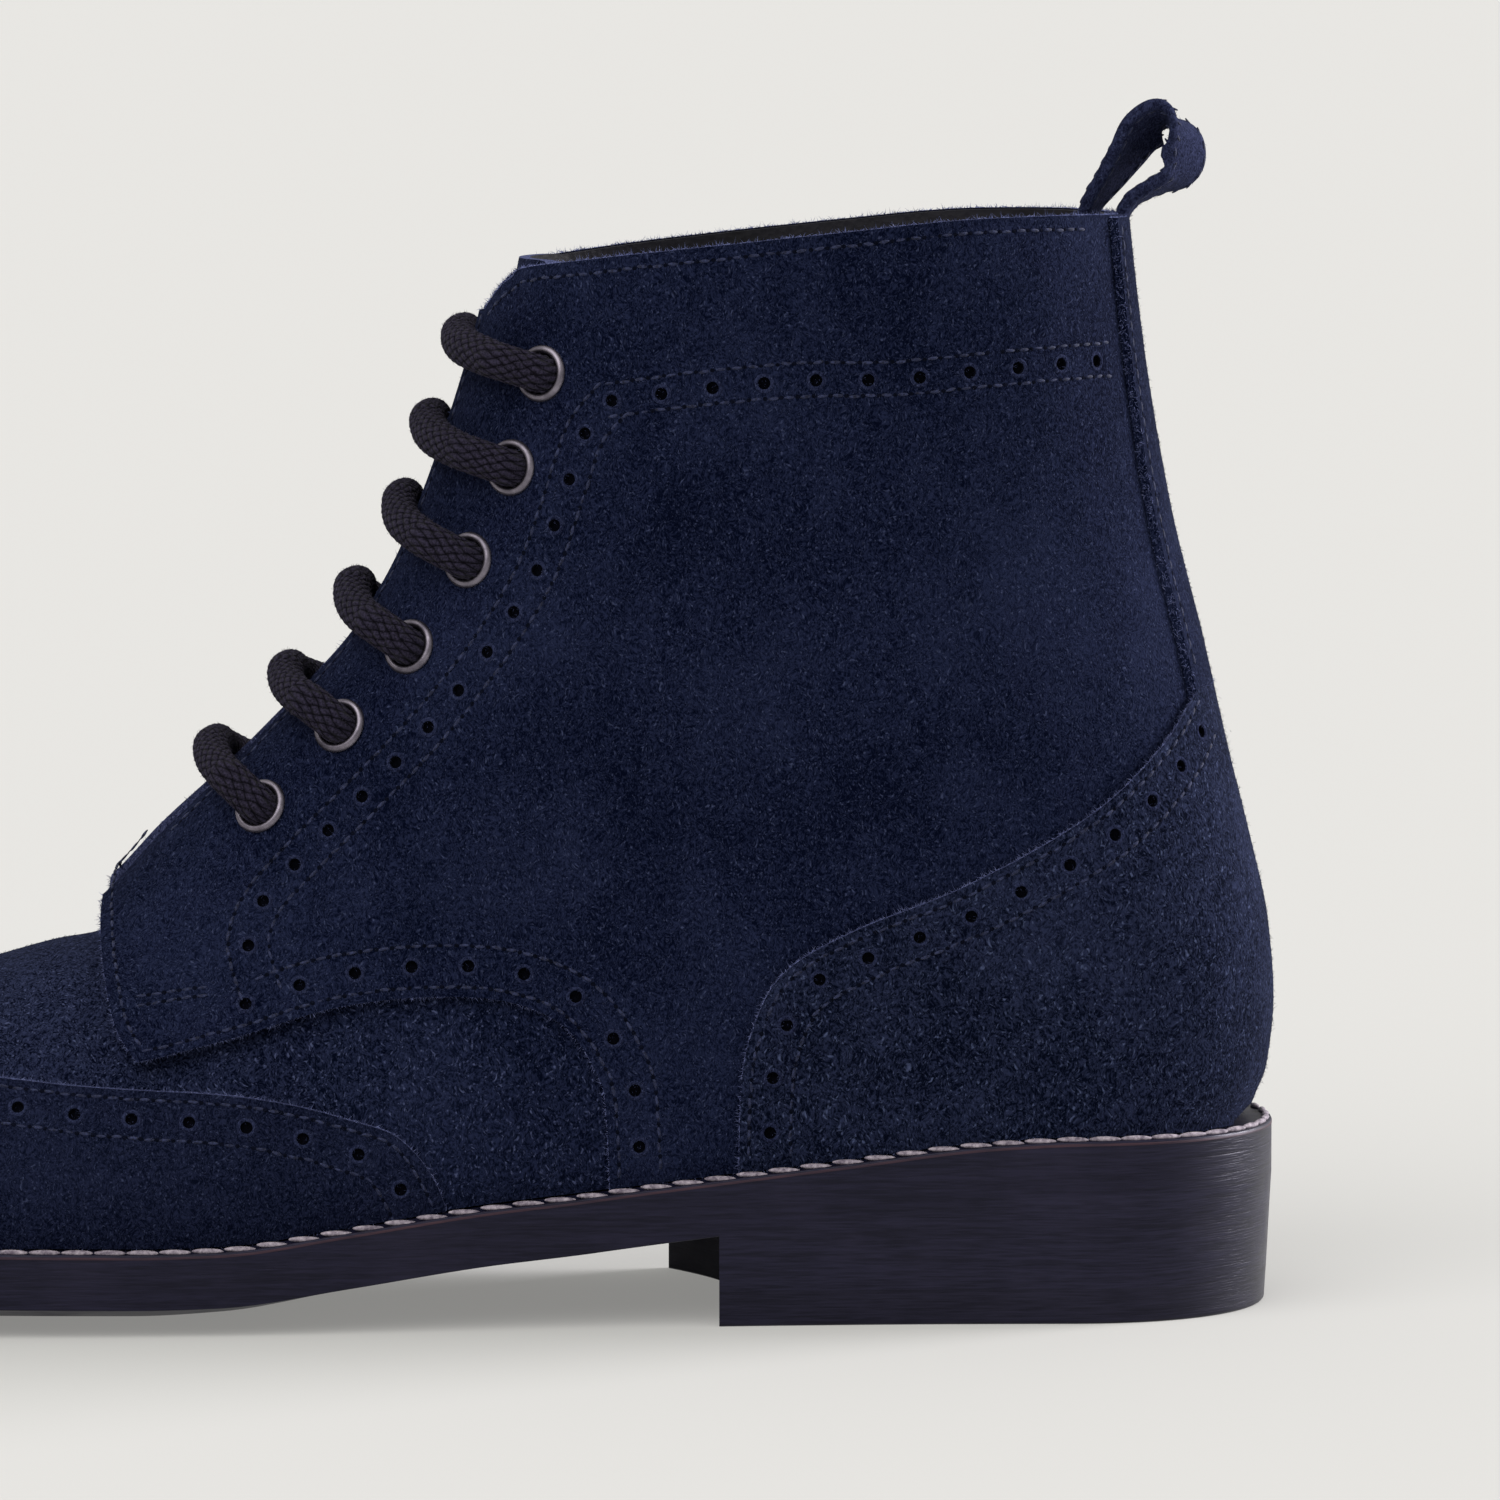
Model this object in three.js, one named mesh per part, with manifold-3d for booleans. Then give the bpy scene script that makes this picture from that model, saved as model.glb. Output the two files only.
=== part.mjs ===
// A left brogue ankle boot: suede upper on a heeled sole, laced through six pairs of eyelets.
// Millimetres, +Z up, toe towards -X, outer (lateral) side towards -Y.
import * as THREE from 'three';
import { mergeVertices } from 'three/addons/utils/BufferGeometryUtils.js';
import Module from 'manifold-3d';

const wasm = await Module();
wasm.setup();

// Last and sole
const LAST_LENGTH = 291;
const BALL_WIDTH = 93;
const SHAFT_WIDTH = 72;
const COLLAR_HEIGHT = 148;
const VAMP_HEIGHT = 46;
const TOE_ROUND = 46;
const HEEL_ROUND = 27;
const SHAFT_ROUND = 50;
const HEEL_HEIGHT = 20.8;
const TOE_SPRING = 15;
const SOLE_CROWN = 4.6;
const OUTSOLE_THICKNESS = 5.6;
const WELT_THICKNESS = 3.1;
const SOLE_MARGIN = 7;
const TOP_PIECE_THICKNESS = 5.8;
const HEEL_TAPER = 1.1;
const GAP = 0.3;

// Leather
const LINING_DEPTH = 0.8;
const VAMP_SKIN = 0.7;
const QUARTER_SKIN = 1.9;
const OVERLAY_THICKNESS = 1.1;
const QUARTER_LIFT = 5.6;
const TONGUE_LIFT = 3.0;
const TONGUE_THICKNESS = 1.8;
const TONGUE_WIDTH = 46;
const THROAT_WIDTH = 16;
const THROAT_FLARE = 5;
const BACKSTAY_WIDTH = 26;
const BACKSTAY_SPREAD = 5;

// Lacing
const EYELET_OUTER = 9.2;
const EYELET_BORE = 6.5;
const EYELET_TUBE = 7.6;
const EYELET_RIM = 0.7;
const LACE_DIAMETER = 6.2;

// Pull loop
const LOOP_HEIGHT = 17;
const LOOP_REACH = 13;
const LOOP_WIDTH = 12;
const LOOP_THICKNESS = 1.5;
const LOOP_LEG = 7;

// Fineness of the forms
const SECTION_STEPS = 31;
const SIDE_STEPS = 9;
const PLATE_STEPS = 26;
const ROUND_STEPS = 10;

const TOE = -LAST_LENGTH / 2;
const SKIRT = 12;

// Height of the sole's lower edge along the shoe, as shares of heel height, toe spring and crown.
const RISE = [
  { at: -0.04, heel: 0, spring: 1.1, crown: 0.3 },
  { at: -0.02, heel: 0, spring: 1.0, crown: 0.35 },
  { at: 0.048, heel: 0, spring: 0.62, crown: 0.6 },
  { at: 0.117, heel: 0, spring: 0.32, crown: 0.9 },
  { at: 0.186, heel: 0, spring: 0.11, crown: 1 },
  { at: 0.254, heel: 0, spring: 0, crown: 1 },
  { at: 0.375, heel: 0, spring: 0, crown: 0.95 },
  { at: 0.426, heel: 0.05, spring: 0, crown: 0.78 },
  { at: 0.495, heel: 0.26, spring: 0, crown: 0.42 },
  { at: 0.567, heel: 0.475, spring: 0, crown: 0.12 },
  { at: 0.632, heel: 0.6, spring: 0, crown: 0 },
  { at: 0.698, heel: 0.71, spring: 0, crown: 0 },
  { at: 0.77, heel: 0.83, spring: 0, crown: 0 },
  { at: 0.852, heel: 0.965, spring: 0, crown: 0 },
  { at: 0.907, heel: 1, spring: 0, crown: 0 },
  { at: 1.05, heel: 1, spring: 0, crown: 0 },
];

// Half widths of the last seen from above, and its inward swing, as shares of the ball width.
const PLAN = [
  { at: -0.03, outer: 0.39, inner: 0.41, swing: 0.06 },
  { at: 0, outer: 0.4, inner: 0.42, swing: 0.058 },
  { at: 0.12, outer: 0.445, inner: 0.475, swing: 0.054 },
  { at: 0.2, outer: 0.475, inner: 0.505, swing: 0.046 },
  { at: 0.27, outer: 0.488, inner: 0.512, swing: 0.038 },
  { at: 0.33, outer: 0.482, inner: 0.49, swing: 0.029 },
  { at: 0.42, outer: 0.455, inner: 0.42, swing: 0.018 },
  { at: 0.52, outer: 0.405, inner: 0.32, swing: 0.006 },
  { at: 0.62, outer: 0.355, inner: 0.265, swing: 0 },
  { at: 0.72, outer: 0.32, inner: 0.265, swing: 0 },
  { at: 0.82, outer: 0.3, inner: 0.285, swing: 0 },
  { at: 0.9, outer: 0.295, inner: 0.292, swing: 0 },
  { at: 1.03, outer: 0.29, inner: 0.29, swing: 0 },
];

// Width of the shaft and place of the heel curve, by height as a share of the collar height.
const SHAFT = [
  { at: -0.12, width: 0.86, back: 0.9855 },
  { at: -0.08, width: 0.86, back: 0.986 },
  { at: 0, width: 0.86, back: 0.9865 },
  { at: 0.062, width: 0.865, back: 0.9965 },
  { at: 0.135, width: 0.872, back: 1 },
  { at: 0.222, width: 0.882, back: 0.9965 },
  { at: 0.3, width: 0.89, back: 0.988 },
  { at: 0.41, width: 0.901, back: 0.974 },
  { at: 0.53, width: 0.92, back: 0.96 },
  { at: 0.68, width: 0.946, back: 0.941 },
  { at: 0.85, width: 0.977, back: 0.926 },
  { at: 1, width: 1, back: 0.917 },
  { at: 1.14, width: 1.014, back: 0.911 },
];

// Sections fan out from the collar to the toe. Each starts on the heel curve, at a share of the
// collar height, or under the feather edge, at a share of the length. It ends on the ridge line,
// at a share of the length, of the vamp height and of the rest of the collar height. The side
// rounds over to the ridge from the share in round.
const SECTIONS = [
  { back: 1.12, ridge: 0.601, vamp: 1, shaft: 1.19, round: 0.5, power: 2.2 },
  { back: 1, ridge: 0.593, vamp: 1, shaft: 1.025, round: 0.5, power: 2.2 },
  { back: 0.88, ridge: 0.579, vamp: 1, shaft: 0.865, round: 0.5, power: 2.2 },
  { back: 0.75, ridge: 0.5567, vamp: 1, shaft: 0.681, round: 0.5, power: 2.2 },
  { back: 0.61, ridge: 0.535, vamp: 1, shaft: 0.541, round: 0.5, power: 2.2 },
  { back: 0.48, ridge: 0.507, vamp: 1, shaft: 0.422, round: 0.5, power: 2.2 },
  { back: 0.35, ridge: 0.479, vamp: 1, shaft: 0.341, round: 0.5, power: 2.2 },
  { back: 0.24, ridge: 0.457, vamp: 1, shaft: 0.284, round: 0.49, power: 2.2 },
  { back: 0.12, ridge: 0.4364, vamp: 1, shaft: 0.229, round: 0.48, power: 2.2 },
  { back: 0.01, ridge: 0.421, vamp: 1, shaft: 0.189, round: 0.46, power: 2.2 },
  { feather: 0.985, ridge: 0.407, vamp: 1, shaft: 0.153, round: 0.44, power: 2.2 },
  { feather: 0.94, ridge: 0.395, vamp: 1, shaft: 0.119, round: 0.42, power: 2.2 },
  { feather: 0.87, ridge: 0.385, vamp: 1, shaft: 0.086, round: 0.39, power: 2.2 },
  { feather: 0.77, ridge: 0.3746, vamp: 1, shaft: 0.054, round: 0.35, power: 2.15 },
  { feather: 0.66, ridge: 0.3625, vamp: 1, shaft: 0.022, round: 0.3, power: 2.1 },
  { feather: 0.545, ridge: 0.347, vamp: 0.991, shaft: 0, round: 0.25, power: 2.1 },
  { feather: 0.445, ridge: 0.321, vamp: 0.957, shaft: 0, round: 0.22, power: 2.1 },
  { feather: 0.35, ridge: 0.282, vamp: 0.885, shaft: 0, round: 0.21, power: 2.1 },
  { feather: 0.268, ridge: 0.227, vamp: 0.785, shaft: 0, round: 0.22, power: 2.15 },
  { feather: 0.206, ridge: 0.168, vamp: 0.68, shaft: 0, round: 0.25, power: 2.2 },
  { feather: 0.168, ridge: 0.11, vamp: 0.565, shaft: 0, round: 0.28, power: 2.25 },
  { feather: 0.148, ridge: 0.062, vamp: 0.455, shaft: 0, round: 0.33, power: 2.2 },
  { feather: 0.138, ridge: 0.0275, vamp: 0.335, shaft: 0, round: 0.42, power: 2.1 },
  { feather: 0.131, ridge: 0.007, vamp: 0.185, shaft: 0, round: 0.55, power: 2 },
  { feather: 0.127, ridge: 0, vamp: 0.02, shaft: 0, round: 0.8, power: 2 },
  { feather: 0.124, ridge: 0, vamp: -0.13, shaft: 0, round: 1, power: 2 },
  { feather: 0.121, ridge: 0, vamp: -0.26, shaft: 0, round: 1, power: 2 },
];
const LAST_SECTION = SECTIONS.length - 1;
const EAR_SECTION = 17;
const LIFT_END = 20;
const TONGUE_ROOT = 10.6;
const TONGUE_FREE = 8;

// Edges seen from the side: along is a share of the last's length from the toe, and up is a
// share of the collar height above the welt. A row with corner starts a new curve.
const QUARTER_EDGE = [
  { along: 0.64, up: -0.1 },
  { along: 0.637, up: 0.074 },
  { along: 0.631, up: 0.132 },
  { along: 0.608, up: 0.194 },
  { along: 0.56, up: 0.228 },
  { along: 0.479, up: 0.237 },
  { along: 0.378, up: 0.2, corner: true },
  { along: 0.364, up: 0.243 },
  { along: 0.353, up: 0.34 },
  { along: 0.356, up: 0.39 },
  { along: 0.364, up: 0.43, corner: true },
  { along: 0.3, up: 0.6, corner: true },
  { along: 0.53, up: 0.96, corner: true },
  { along: 0.568, up: 0.968, corner: true },
  { along: 0.582, up: 0.998 },
  { along: 0.61, up: 1.013 },
  { along: 0.77, up: 1.0115 },
  { along: 0.88, up: 1.004 },
  { along: 1.06, up: 0.99, corner: true },
  { along: 1.06, up: -0.1, corner: true },
];
const VAMP_REAR = [
  { along: 0.668, up: -0.1 },
  { along: 0.662, up: 0.12 },
  { along: 0.635, up: 0.21 },
  { along: 0.56, up: 0.262 },
  { along: 0.46, up: 0.268 },
  { along: 0.41, up: 0.265, corner: true },
  { along: 0.4, up: 0.5, corner: true },
  { along: -0.06, up: 0.5, corner: true },
  { along: -0.06, up: -0.1, corner: true },
];
const WING_EDGE = [
  { along: 0.549, up: -0.1 },
  { along: 0.548, up: 0.005 },
  { along: 0.527, up: 0.08 },
  { along: 0.497, up: 0.115 },
  { along: 0.432, up: 0.16 },
  { along: 0.331, up: 0.175 },
  { along: 0.255, up: 0.192 },
  { along: 0.213, up: 0.216 },
  { along: 0.18, up: 0.26, corner: true },
  { along: 0.17, up: 0.5, corner: true },
  { along: -0.06, up: 0.5, corner: true },
  { along: -0.06, up: -0.1, corner: true },
];
const COUNTER_EDGE = [
  { along: 0.71, up: -0.1 },
  { along: 0.711, up: 0.085 },
  { along: 0.718, up: 0.16 },
  { along: 0.7354, up: 0.217 },
  { along: 0.775, up: 0.254 },
  { along: 0.835, up: 0.287 },
  { along: 0.899, up: 0.349 },
  { along: 0.941, up: 0.418 },
  { along: 0.966, up: 0.4825, corner: true },
  { along: 1.06, up: 0.5, corner: true },
  { along: 1.06, up: -0.1, corner: true },
];

// The wing cap's centre peak seen from above: across is a share of the ball width.
const WING_PEAK = [
  { along: 0.262, across: 0 },
  { along: 0.24, across: 0.05 },
  { along: 0.218, across: 0.115 },
  { along: 0.2, across: 0.2 },
  { along: 0.192, across: 0.6 },
];

// Eyelets from the vamp up, seen from the side like the edges.
const EYELETS = [
  { along: 0.4436, up: 0.463 },
  { along: 0.488, up: 0.5385 },
  { along: 0.527, up: 0.614 },
  { along: 0.56, up: 0.7 },
  { along: 0.584, up: 0.796 },
  { along: 0.601, up: 0.895 },
];

// The pull loop's middle line: out is a share of its reach behind the wall, up of its height
// above the collar, and turn is its twist in degrees.
const LOOP = [
  { out: -0.42, up: -0.62, turn: 0 },
  { out: -0.44, up: -0.15, turn: 0 },
  { out: -0.33, up: 0.15, turn: 6 },
  { out: -0.04, up: 0.55, turn: 16 },
  { out: 0.24, up: 0.86, turn: 26 },
  { out: 0.5, up: 0.95, turn: 34 },
  { out: 0.8, up: 0.8, turn: 40 },
  { out: 0.99, up: 0.54, turn: 40 },
  { out: 0.95, up: 0.33, turn: 34 },
  { out: 0.7, up: 0.21, turn: 24 },
  { out: 0.4, up: 0.15, turn: 12 },
  { out: 0.17, up: 0.04, turn: 4 },
  { out: 0.1, up: -0.14, turn: 0 },
  { out: 0.14, up: -0.38, turn: 0 },
];

// The heel breast, hollow towards the toe: places as shares of the last's length.
const BREAST = { middle: 0.715, outer: 0.699, inner: 0.669 };

// Where the foot's plan turns into the shaft, up and along, and where the heel's round widens.
const BLEND = { up: [0, 0.3], along: [0.38, 0.58], heel: [0.07, 0.67] };

// Fullness of the rounded toe and heel, seen from above.
const FULLNESS = { toe: 2.25, heel: 2.15 };

// The throat's slot and the tongue: reach along the last, root of the tongue, and its lower edge.
const THROAT_REACH = { end: 0.7, over: 1.3 };
const TONGUE_REACH = { start: 0.365, end: 0.72, root: 0.42, corner: 8 };
const TONGUE_FOOT = [
  { along: -0.06, up: -0.5, corner: true },
  { along: 1.06, up: -0.5, corner: true },
  { along: 1.06, up: 0.2, corner: true },
  { along: -0.06, up: 0.24, corner: true },
];

const lerp = (a, b, t) => a + (b - a) * t;
const clamp = (value) => Math.min(1, Math.max(0, value));
const lengthAt = (share) => TOE + share * LAST_LENGTH;
const shareAt = (x) => (x - TOE) / LAST_LENGTH;

function smooth(from, to, value) {
  const t = clamp((value - from) / (to - from));
  return t * t * (3 - 2 * t);
}

// A curve through one column of a table that never swings past its rows.
function column(rows, name) {
  const steps = rows.slice(1).map((row, i) => (row[name] - rows[i][name]) / (row.at - rows[i].at));
  const slopes = rows.map((row, i) => {
    if (i === 0) return steps[0];
    if (i === rows.length - 1) return steps[i - 1];
    const product = steps[i - 1] * steps[i];
    return product > 0 ? (2 * product) / (steps[i - 1] + steps[i]) : 0;
  });
  return (at) => {
    const place = Math.min(rows[rows.length - 1].at, Math.max(rows[0].at, at));
    let i = 0;
    while (i < rows.length - 2 && place > rows[i + 1].at) i += 1;
    const span = rows[i + 1].at - rows[i].at;
    const t = (place - rows[i].at) / span;
    const start = rows[i][name] * (2 * t ** 3 - 3 * t ** 2 + 1);
    const end = rows[i + 1][name] * (3 * t ** 2 - 2 * t ** 3);
    const leave = slopes[i] * span * (t ** 3 - 2 * t ** 2 + t);
    const arrive = slopes[i + 1] * span * (t ** 3 - t ** 2);
    return start + end + leave + arrive;
  };
}

// A flowing curve through values that stand one section apart.
function flow(values) {
  return (section) => {
    const i = Math.min(values.length - 2, Math.max(0, Math.floor(section)));
    const t = section - i;
    const before = values[Math.max(i - 1, 0)];
    const after = values[Math.min(i + 2, values.length - 1)];
    const bend = 2 * before - 5 * values[i] + 4 * values[i + 1] - after;
    const twist = 3 * values[i] - before - 3 * values[i + 1] + after;
    const slope = values[i + 1] - before;
    return values[i] + 0.5 * (slope * t + bend * t ** 2 + twist * t ** 3);
  };
}

const heelShare = column(RISE, 'heel');
const springShare = column(RISE, 'spring');
const crownShare = column(RISE, 'crown');
const outerShare = column(PLAN, 'outer');
const innerShare = column(PLAN, 'inner');
const swingShare = column(PLAN, 'swing');
const shaftShare = column(SHAFT, 'width');
const backShare = column(SHAFT, 'back');

const soleCentre = (x) => HEEL_HEIGHT * heelShare(shareAt(x)) + TOE_SPRING * springShare(shareAt(x));
const soleCrown = (x) => SOLE_CROWN * crownShare(shareAt(x));
const outsoleTop = (x) => soleCentre(x) + soleCrown(x) + OUTSOLE_THICKNESS;
const weltTop = (x) => outsoleTop(x) + GAP + WELT_THICKNESS;
const swing = (x) => BALL_WIDTH * swingShare(shareAt(x));
const heelCurve = (height) => lengthAt(backShare(height / COLLAR_HEIGHT));

// How far a side has come in at a distance from its end, on a rounded corner of a given size.
function rounding(distance, size, power) {
  const rest = clamp(1 - distance / size);
  return (1 - rest ** power) ** (1 / power);
}

function planHalf(x, side, grow) {
  const share = side < 0 ? outerShare(shareAt(x)) : innerShare(shareAt(x));
  return BALL_WIDTH * share + grow;
}

// Half width of the last at the feather edge, grown all round.
function featherHalf(x, side, grow) {
  const toe = rounding(x - (TOE - grow), TOE_ROUND + grow, FULLNESS.toe);
  const heel = rounding(heelCurve(0) + grow - x, HEEL_ROUND + grow, FULLNESS.heel);
  return planHalf(x, side, grow) * toe * heel;
}

const endHeights = SECTIONS.map((row) => (row.feather ? -SKIRT : row.back * COLLAR_HEIGHT));
const endLengths = SECTIONS.map((row, i) => (
  row.feather ? lengthAt(row.feather) : heelCurve(endHeights[i])
));
const ridgeLengths = SECTIONS.map((row) => lengthAt(row.ridge));
const ridgeHeights = SECTIONS.map((row) => (
  row.vamp * VAMP_HEIGHT + row.shaft * (COLLAR_HEIGHT - VAMP_HEIGHT)
));
const endHeight = flow(endHeights);
const endLength = flow(endLengths);
const ridgeLength = flow(ridgeLengths);
const ridgeHeight = flow(ridgeHeights);
const roundShare = flow(SECTIONS.map((row) => row.round));
const roundPower = flow(SECTIONS.map((row) => row.power));
const LAST_ON_HEEL = SECTIONS.findIndex((row) => row.feather) - 1;

// The outward direction of the ridge line, seen from the side.
function ridgeNormal(section) {
  const before = Math.max(0, section - 0.5);
  const after = Math.min(LAST_SECTION, section + 0.5);
  const along = ridgeLength(after) - ridgeLength(before);
  const up = ridgeHeight(after) - ridgeHeight(before);
  const size = Math.hypot(along, up);
  return { along: up / size, up: -along / size };
}

// Skins of the boot: grow is the distance off the last, lift the extra distance at the ridge,
// which fades out between two sections.
const LINING = { grow: -LINING_DEPTH, lift: 0, fade: [EAR_SECTION, LIFT_END] };
const VAMP = { ...LINING, grow: VAMP_SKIN };
const QUARTER = { ...LINING, grow: QUARTER_SKIN, lift: QUARTER_LIFT };
const QUARTER_INSIDE = { ...LINING, lift: QUARTER_LIFT };
const TONGUE = { grow: -LINING_DEPTH - GAP, lift: TONGUE_LIFT, fade: [TONGUE_FREE, TONGUE_ROOT] };

const over = (skin, distance) => ({ ...skin, grow: skin.grow + distance });

// The two ends of a section on a skin, seen from the side.
function chord(section, skin) {
  const lift = skin.lift * (1 - smooth(skin.fade[0], skin.fade[1], section));
  const normal = ridgeNormal(section);
  const ridge = {
    x: ridgeLength(section) + normal.along * (skin.grow + lift),
    h: ridgeHeight(section) + normal.up * (skin.grow + lift),
  };
  const end = { x: endLength(section), h: endHeight(section) };
  if (section <= LAST_ON_HEEL) end.x = heelCurve(end.h) + skin.grow;
  return { end, ridge };
}

function halfWidth(x, height, share, section, side, grow) {
  const up = smooth(...BLEND.up, height / COLLAR_HEIGHT) * smooth(...BLEND.along, shareAt(x));
  const shaft = (SHAFT_WIDTH / 2) * shaftShare(height / COLLAR_HEIGHT) + grow;
  const flat = lerp(planHalf(x, side, grow), shaft, up);
  const heelRound = lerp(HEEL_ROUND, SHAFT_ROUND, smooth(...BLEND.heel, height / COLLAR_HEIGHT));
  const toe = rounding(x - (TOE - grow), TOE_ROUND + grow, FULLNESS.toe);
  const heel = rounding(heelCurve(height) + grow - x, heelRound + grow, FULLNESS.heel);
  const start = roundShare(section);
  const power = roundPower(section);
  const top = rounding((1 - share) / Math.max(1 - start, 1e-6), 1, power);
  return flat * toe * heel * top;
}

// A point of a skin, from the section's end (share 0) to the ridge (share 1).
function skinPoint(section, share, side, skin) {
  const { end, ridge } = chord(section, skin);
  const x = lerp(end.x, ridge.x, share);
  const height = lerp(end.h, ridge.h, share);
  const half = halfWidth(x, height, share, section, side, skin.grow);
  return new THREE.Vector3(x, swing(x) + side * half, weltTop(x) + height);
}

// The section and share at which a side-view place lies on a skin.
function locate(x, height, skin) {
  let low = 0;
  let high = LAST_SECTION;
  for (let i = 0; i < 40; i += 1) {
    const middle = (low + high) / 2;
    const { end, ridge } = chord(middle, skin);
    const cross = (ridge.x - end.x) * (height - end.h) - (ridge.h - end.h) * (x - end.x);
    if (cross > 0) low = middle;
    else high = middle;
  }
  const { end, ridge } = chord(low, skin);
  const along = ridge.x - end.x;
  const up = ridge.h - end.h;
  const share = ((x - end.x) * along + (height - end.h) * up) / (along ** 2 + up ** 2);
  return { section: low, share: clamp(share) };
}

// The section whose ridge point lies straight out from a side-view place.
function ridgeOver(x, height) {
  let best = 0;
  let least = Infinity;
  for (let section = 1; section <= EAR_SECTION; section += 0.05) {
    const normal = ridgeNormal(section);
    const dx = x - ridgeLength(section);
    const dh = height - ridgeHeight(section);
    const off = Math.abs(dh * normal.along - dx * normal.up);
    if (off < least) {
      least = off;
      best = section;
    }
  }
  return best;
}

// Solids

function toSolid(geometry) {
  geometry.deleteAttribute('normal');
  geometry.deleteAttribute('uv');
  const merged = mergeVertices(geometry, 1e-4);
  const index = Array.from(merged.index.array);
  const kept = [];
  for (let i = 0; i < index.length; i += 3) {
    const [a, b, c] = index.slice(i, i + 3);
    if (a !== b && b !== c && c !== a) kept.push(a, b, c);
  }
  return new wasm.Manifold(new wasm.Mesh({
    numProp: 3,
    vertProperties: new Float32Array(merged.attributes.position.array),
    triVerts: new Uint32Array(kept),
  }));
}

function toGeometry(solid) {
  const mesh = solid.getMesh();
  const geometry = new THREE.BufferGeometry();
  geometry.setAttribute('position', new THREE.BufferAttribute(new Float32Array(mesh.vertProperties), 3));
  geometry.setIndex(Array.from(mesh.triVerts));
  geometry.computeVertexNormals();
  return geometry;
}

// Triangles of a sheet of rows and columns, in order or turned over.
function sheetFaces(rows, columns, first, turned) {
  const faces = [];
  for (let i = 0; i < rows - 1; i += 1) {
    for (let j = 0; j < columns - 1; j += 1) {
      const a = first + i * columns + j;
      const b = a + 1;
      const c = a + columns;
      const d = c + 1;
      if (turned) faces.push(a, c, b, b, c, d);
      else faces.push(a, b, c, b, d, c);
    }
  }
  return faces;
}

function closedGeometry(points, faces) {
  const geometry = new THREE.BufferGeometry();
  const flat = points.flatMap((point) => [point.x, point.y, point.z]);
  geometry.setAttribute('position', new THREE.BufferAttribute(new Float32Array(flat), 3));
  geometry.setIndex(faces);
  return geometry;
}

// A skin as one full solid, closed across the collar, the bottom and the toe.
function skinSolid(skin) {
  const columns = 2 * SIDE_STEPS + 1;
  const rows = SECTION_STEPS + 1;
  const points = [];
  for (let i = 0; i < rows; i += 1) {
    const section = (LAST_SECTION * i) / SECTION_STEPS;
    for (let j = -SIDE_STEPS; j <= SIDE_STEPS; j += 1) {
      const share = (1 + Math.cos((Math.PI * j) / SIDE_STEPS)) / 2;
      points.push(skinPoint(section, share, j < 0 ? -1 : 1, skin));
    }
  }
  const faces = sheetFaces(rows, columns, 0, false);
  const quad = (a, b, c, d) => faces.push(a, b, c, a, c, d);
  for (let i = 0; i < rows - 1; i += 1) {
    const a = i * columns;
    quad(a, a + columns, a + 2 * columns - 1, a + columns - 1);
  }
  const toeRow = (rows - 1) * columns;
  for (let j = 0; j < SIDE_STEPS; j += 1) {
    const k = columns - 1 - j;
    quad(j, k, k - 1, j + 1);
    quad(toeRow + j, toeRow + j + 1, toeRow + k - 1, toeRow + k);
  }
  return toSolid(closedGeometry(points, faces));
}

// A solid between an upper and a lower sheet with the same rows and columns.
function slab(rows, columns, upper, lower) {
  const points = [];
  for (const sheet of [upper, lower]) {
    for (let i = 0; i < rows; i += 1) {
      for (let j = 0; j < columns; j += 1) points.push(sheet(i / (rows - 1), j));
    }
  }
  const count = rows * columns;
  const faces = [...sheetFaces(rows, columns, 0, true), ...sheetFaces(rows, columns, count, false)];
  const wall = (a, b) => faces.push(a, b, a + count, b, b + count, a + count);
  for (let j = 0; j < columns - 1; j += 1) {
    wall(j, j + 1);
    wall(count - 1 - j, count - 2 - j);
  }
  for (let i = 0; i < rows - 1; i += 1) {
    wall((i + 1) * columns, i * columns);
    wall((i + 1) * columns - 1, (i + 2) * columns - 1);
  }
  return toSolid(closedGeometry(points, faces));
}

const FLAT_ACROSS = [-1, 0, 1];
const DISHED_ACROSS = [-1, -0.8, -0.55, -0.35, 0.35, 0.55, 0.8, 1];
const FLAT_SPOT = 0.35;

// A plate of the sole's family: the last's outline grown by a margin, between two heights.
function plate(grow, across, top, bottom) {
  const start = TOE - grow;
  const end = heelCurve(0) + grow;
  const sheet = (height) => (t, j) => {
    const x = lerp(start, end, (1 - Math.cos(Math.PI * t)) / 2);
    const y = swing(x) + across[j] * featherHalf(x, across[j], grow);
    return new THREE.Vector3(x, y, height(x, across[j]));
  };
  return slab(PLATE_STEPS + 1, across.length, sheet(top), sheet(bottom));
}

// A block of the heel between two heights, with its margin at each.
function heelBlock(topMargin, bottomMargin, top, bottom) {
  const across = [-1, -0.6, 0, 0.6, 1];
  const bow = (BREAST.outer + BREAST.inner) / 2 - BREAST.middle;
  const skew = (BREAST.inner - BREAST.outer) / 2;
  const sheet = (height, margin) => (t, j) => {
    const r = across[j];
    const breast = lengthAt(BREAST.middle + skew * r + bow * r * r);
    const x = lerp(breast, heelCurve(0) + margin, Math.sin((Math.PI * t) / 2));
    const y = swing(x) + r * featherHalf(x, r, margin);
    return new THREE.Vector3(x, y, height(x));
  };
  return slab(13, across.length, sheet(top, topMargin), sheet(bottom, bottomMargin));
}

// Points of an outline given by a table, as curves that break at its corners.
function outline(rows, place) {
  const points = [];
  let run = [];
  const close = () => {
    if (run.length > 2) points.push(...new THREE.SplineCurve(run).getPoints(4 * (run.length - 1)));
    else points.push(...run);
  };
  for (const row of rows) {
    run.push(place(row));
    if (row.corner) {
      close();
      run = [place(row)];
    }
  }
  close();
  return points.filter((point, i) => i === 0 || point.distanceTo(points[i - 1]) > 1e-6);
}

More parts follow.
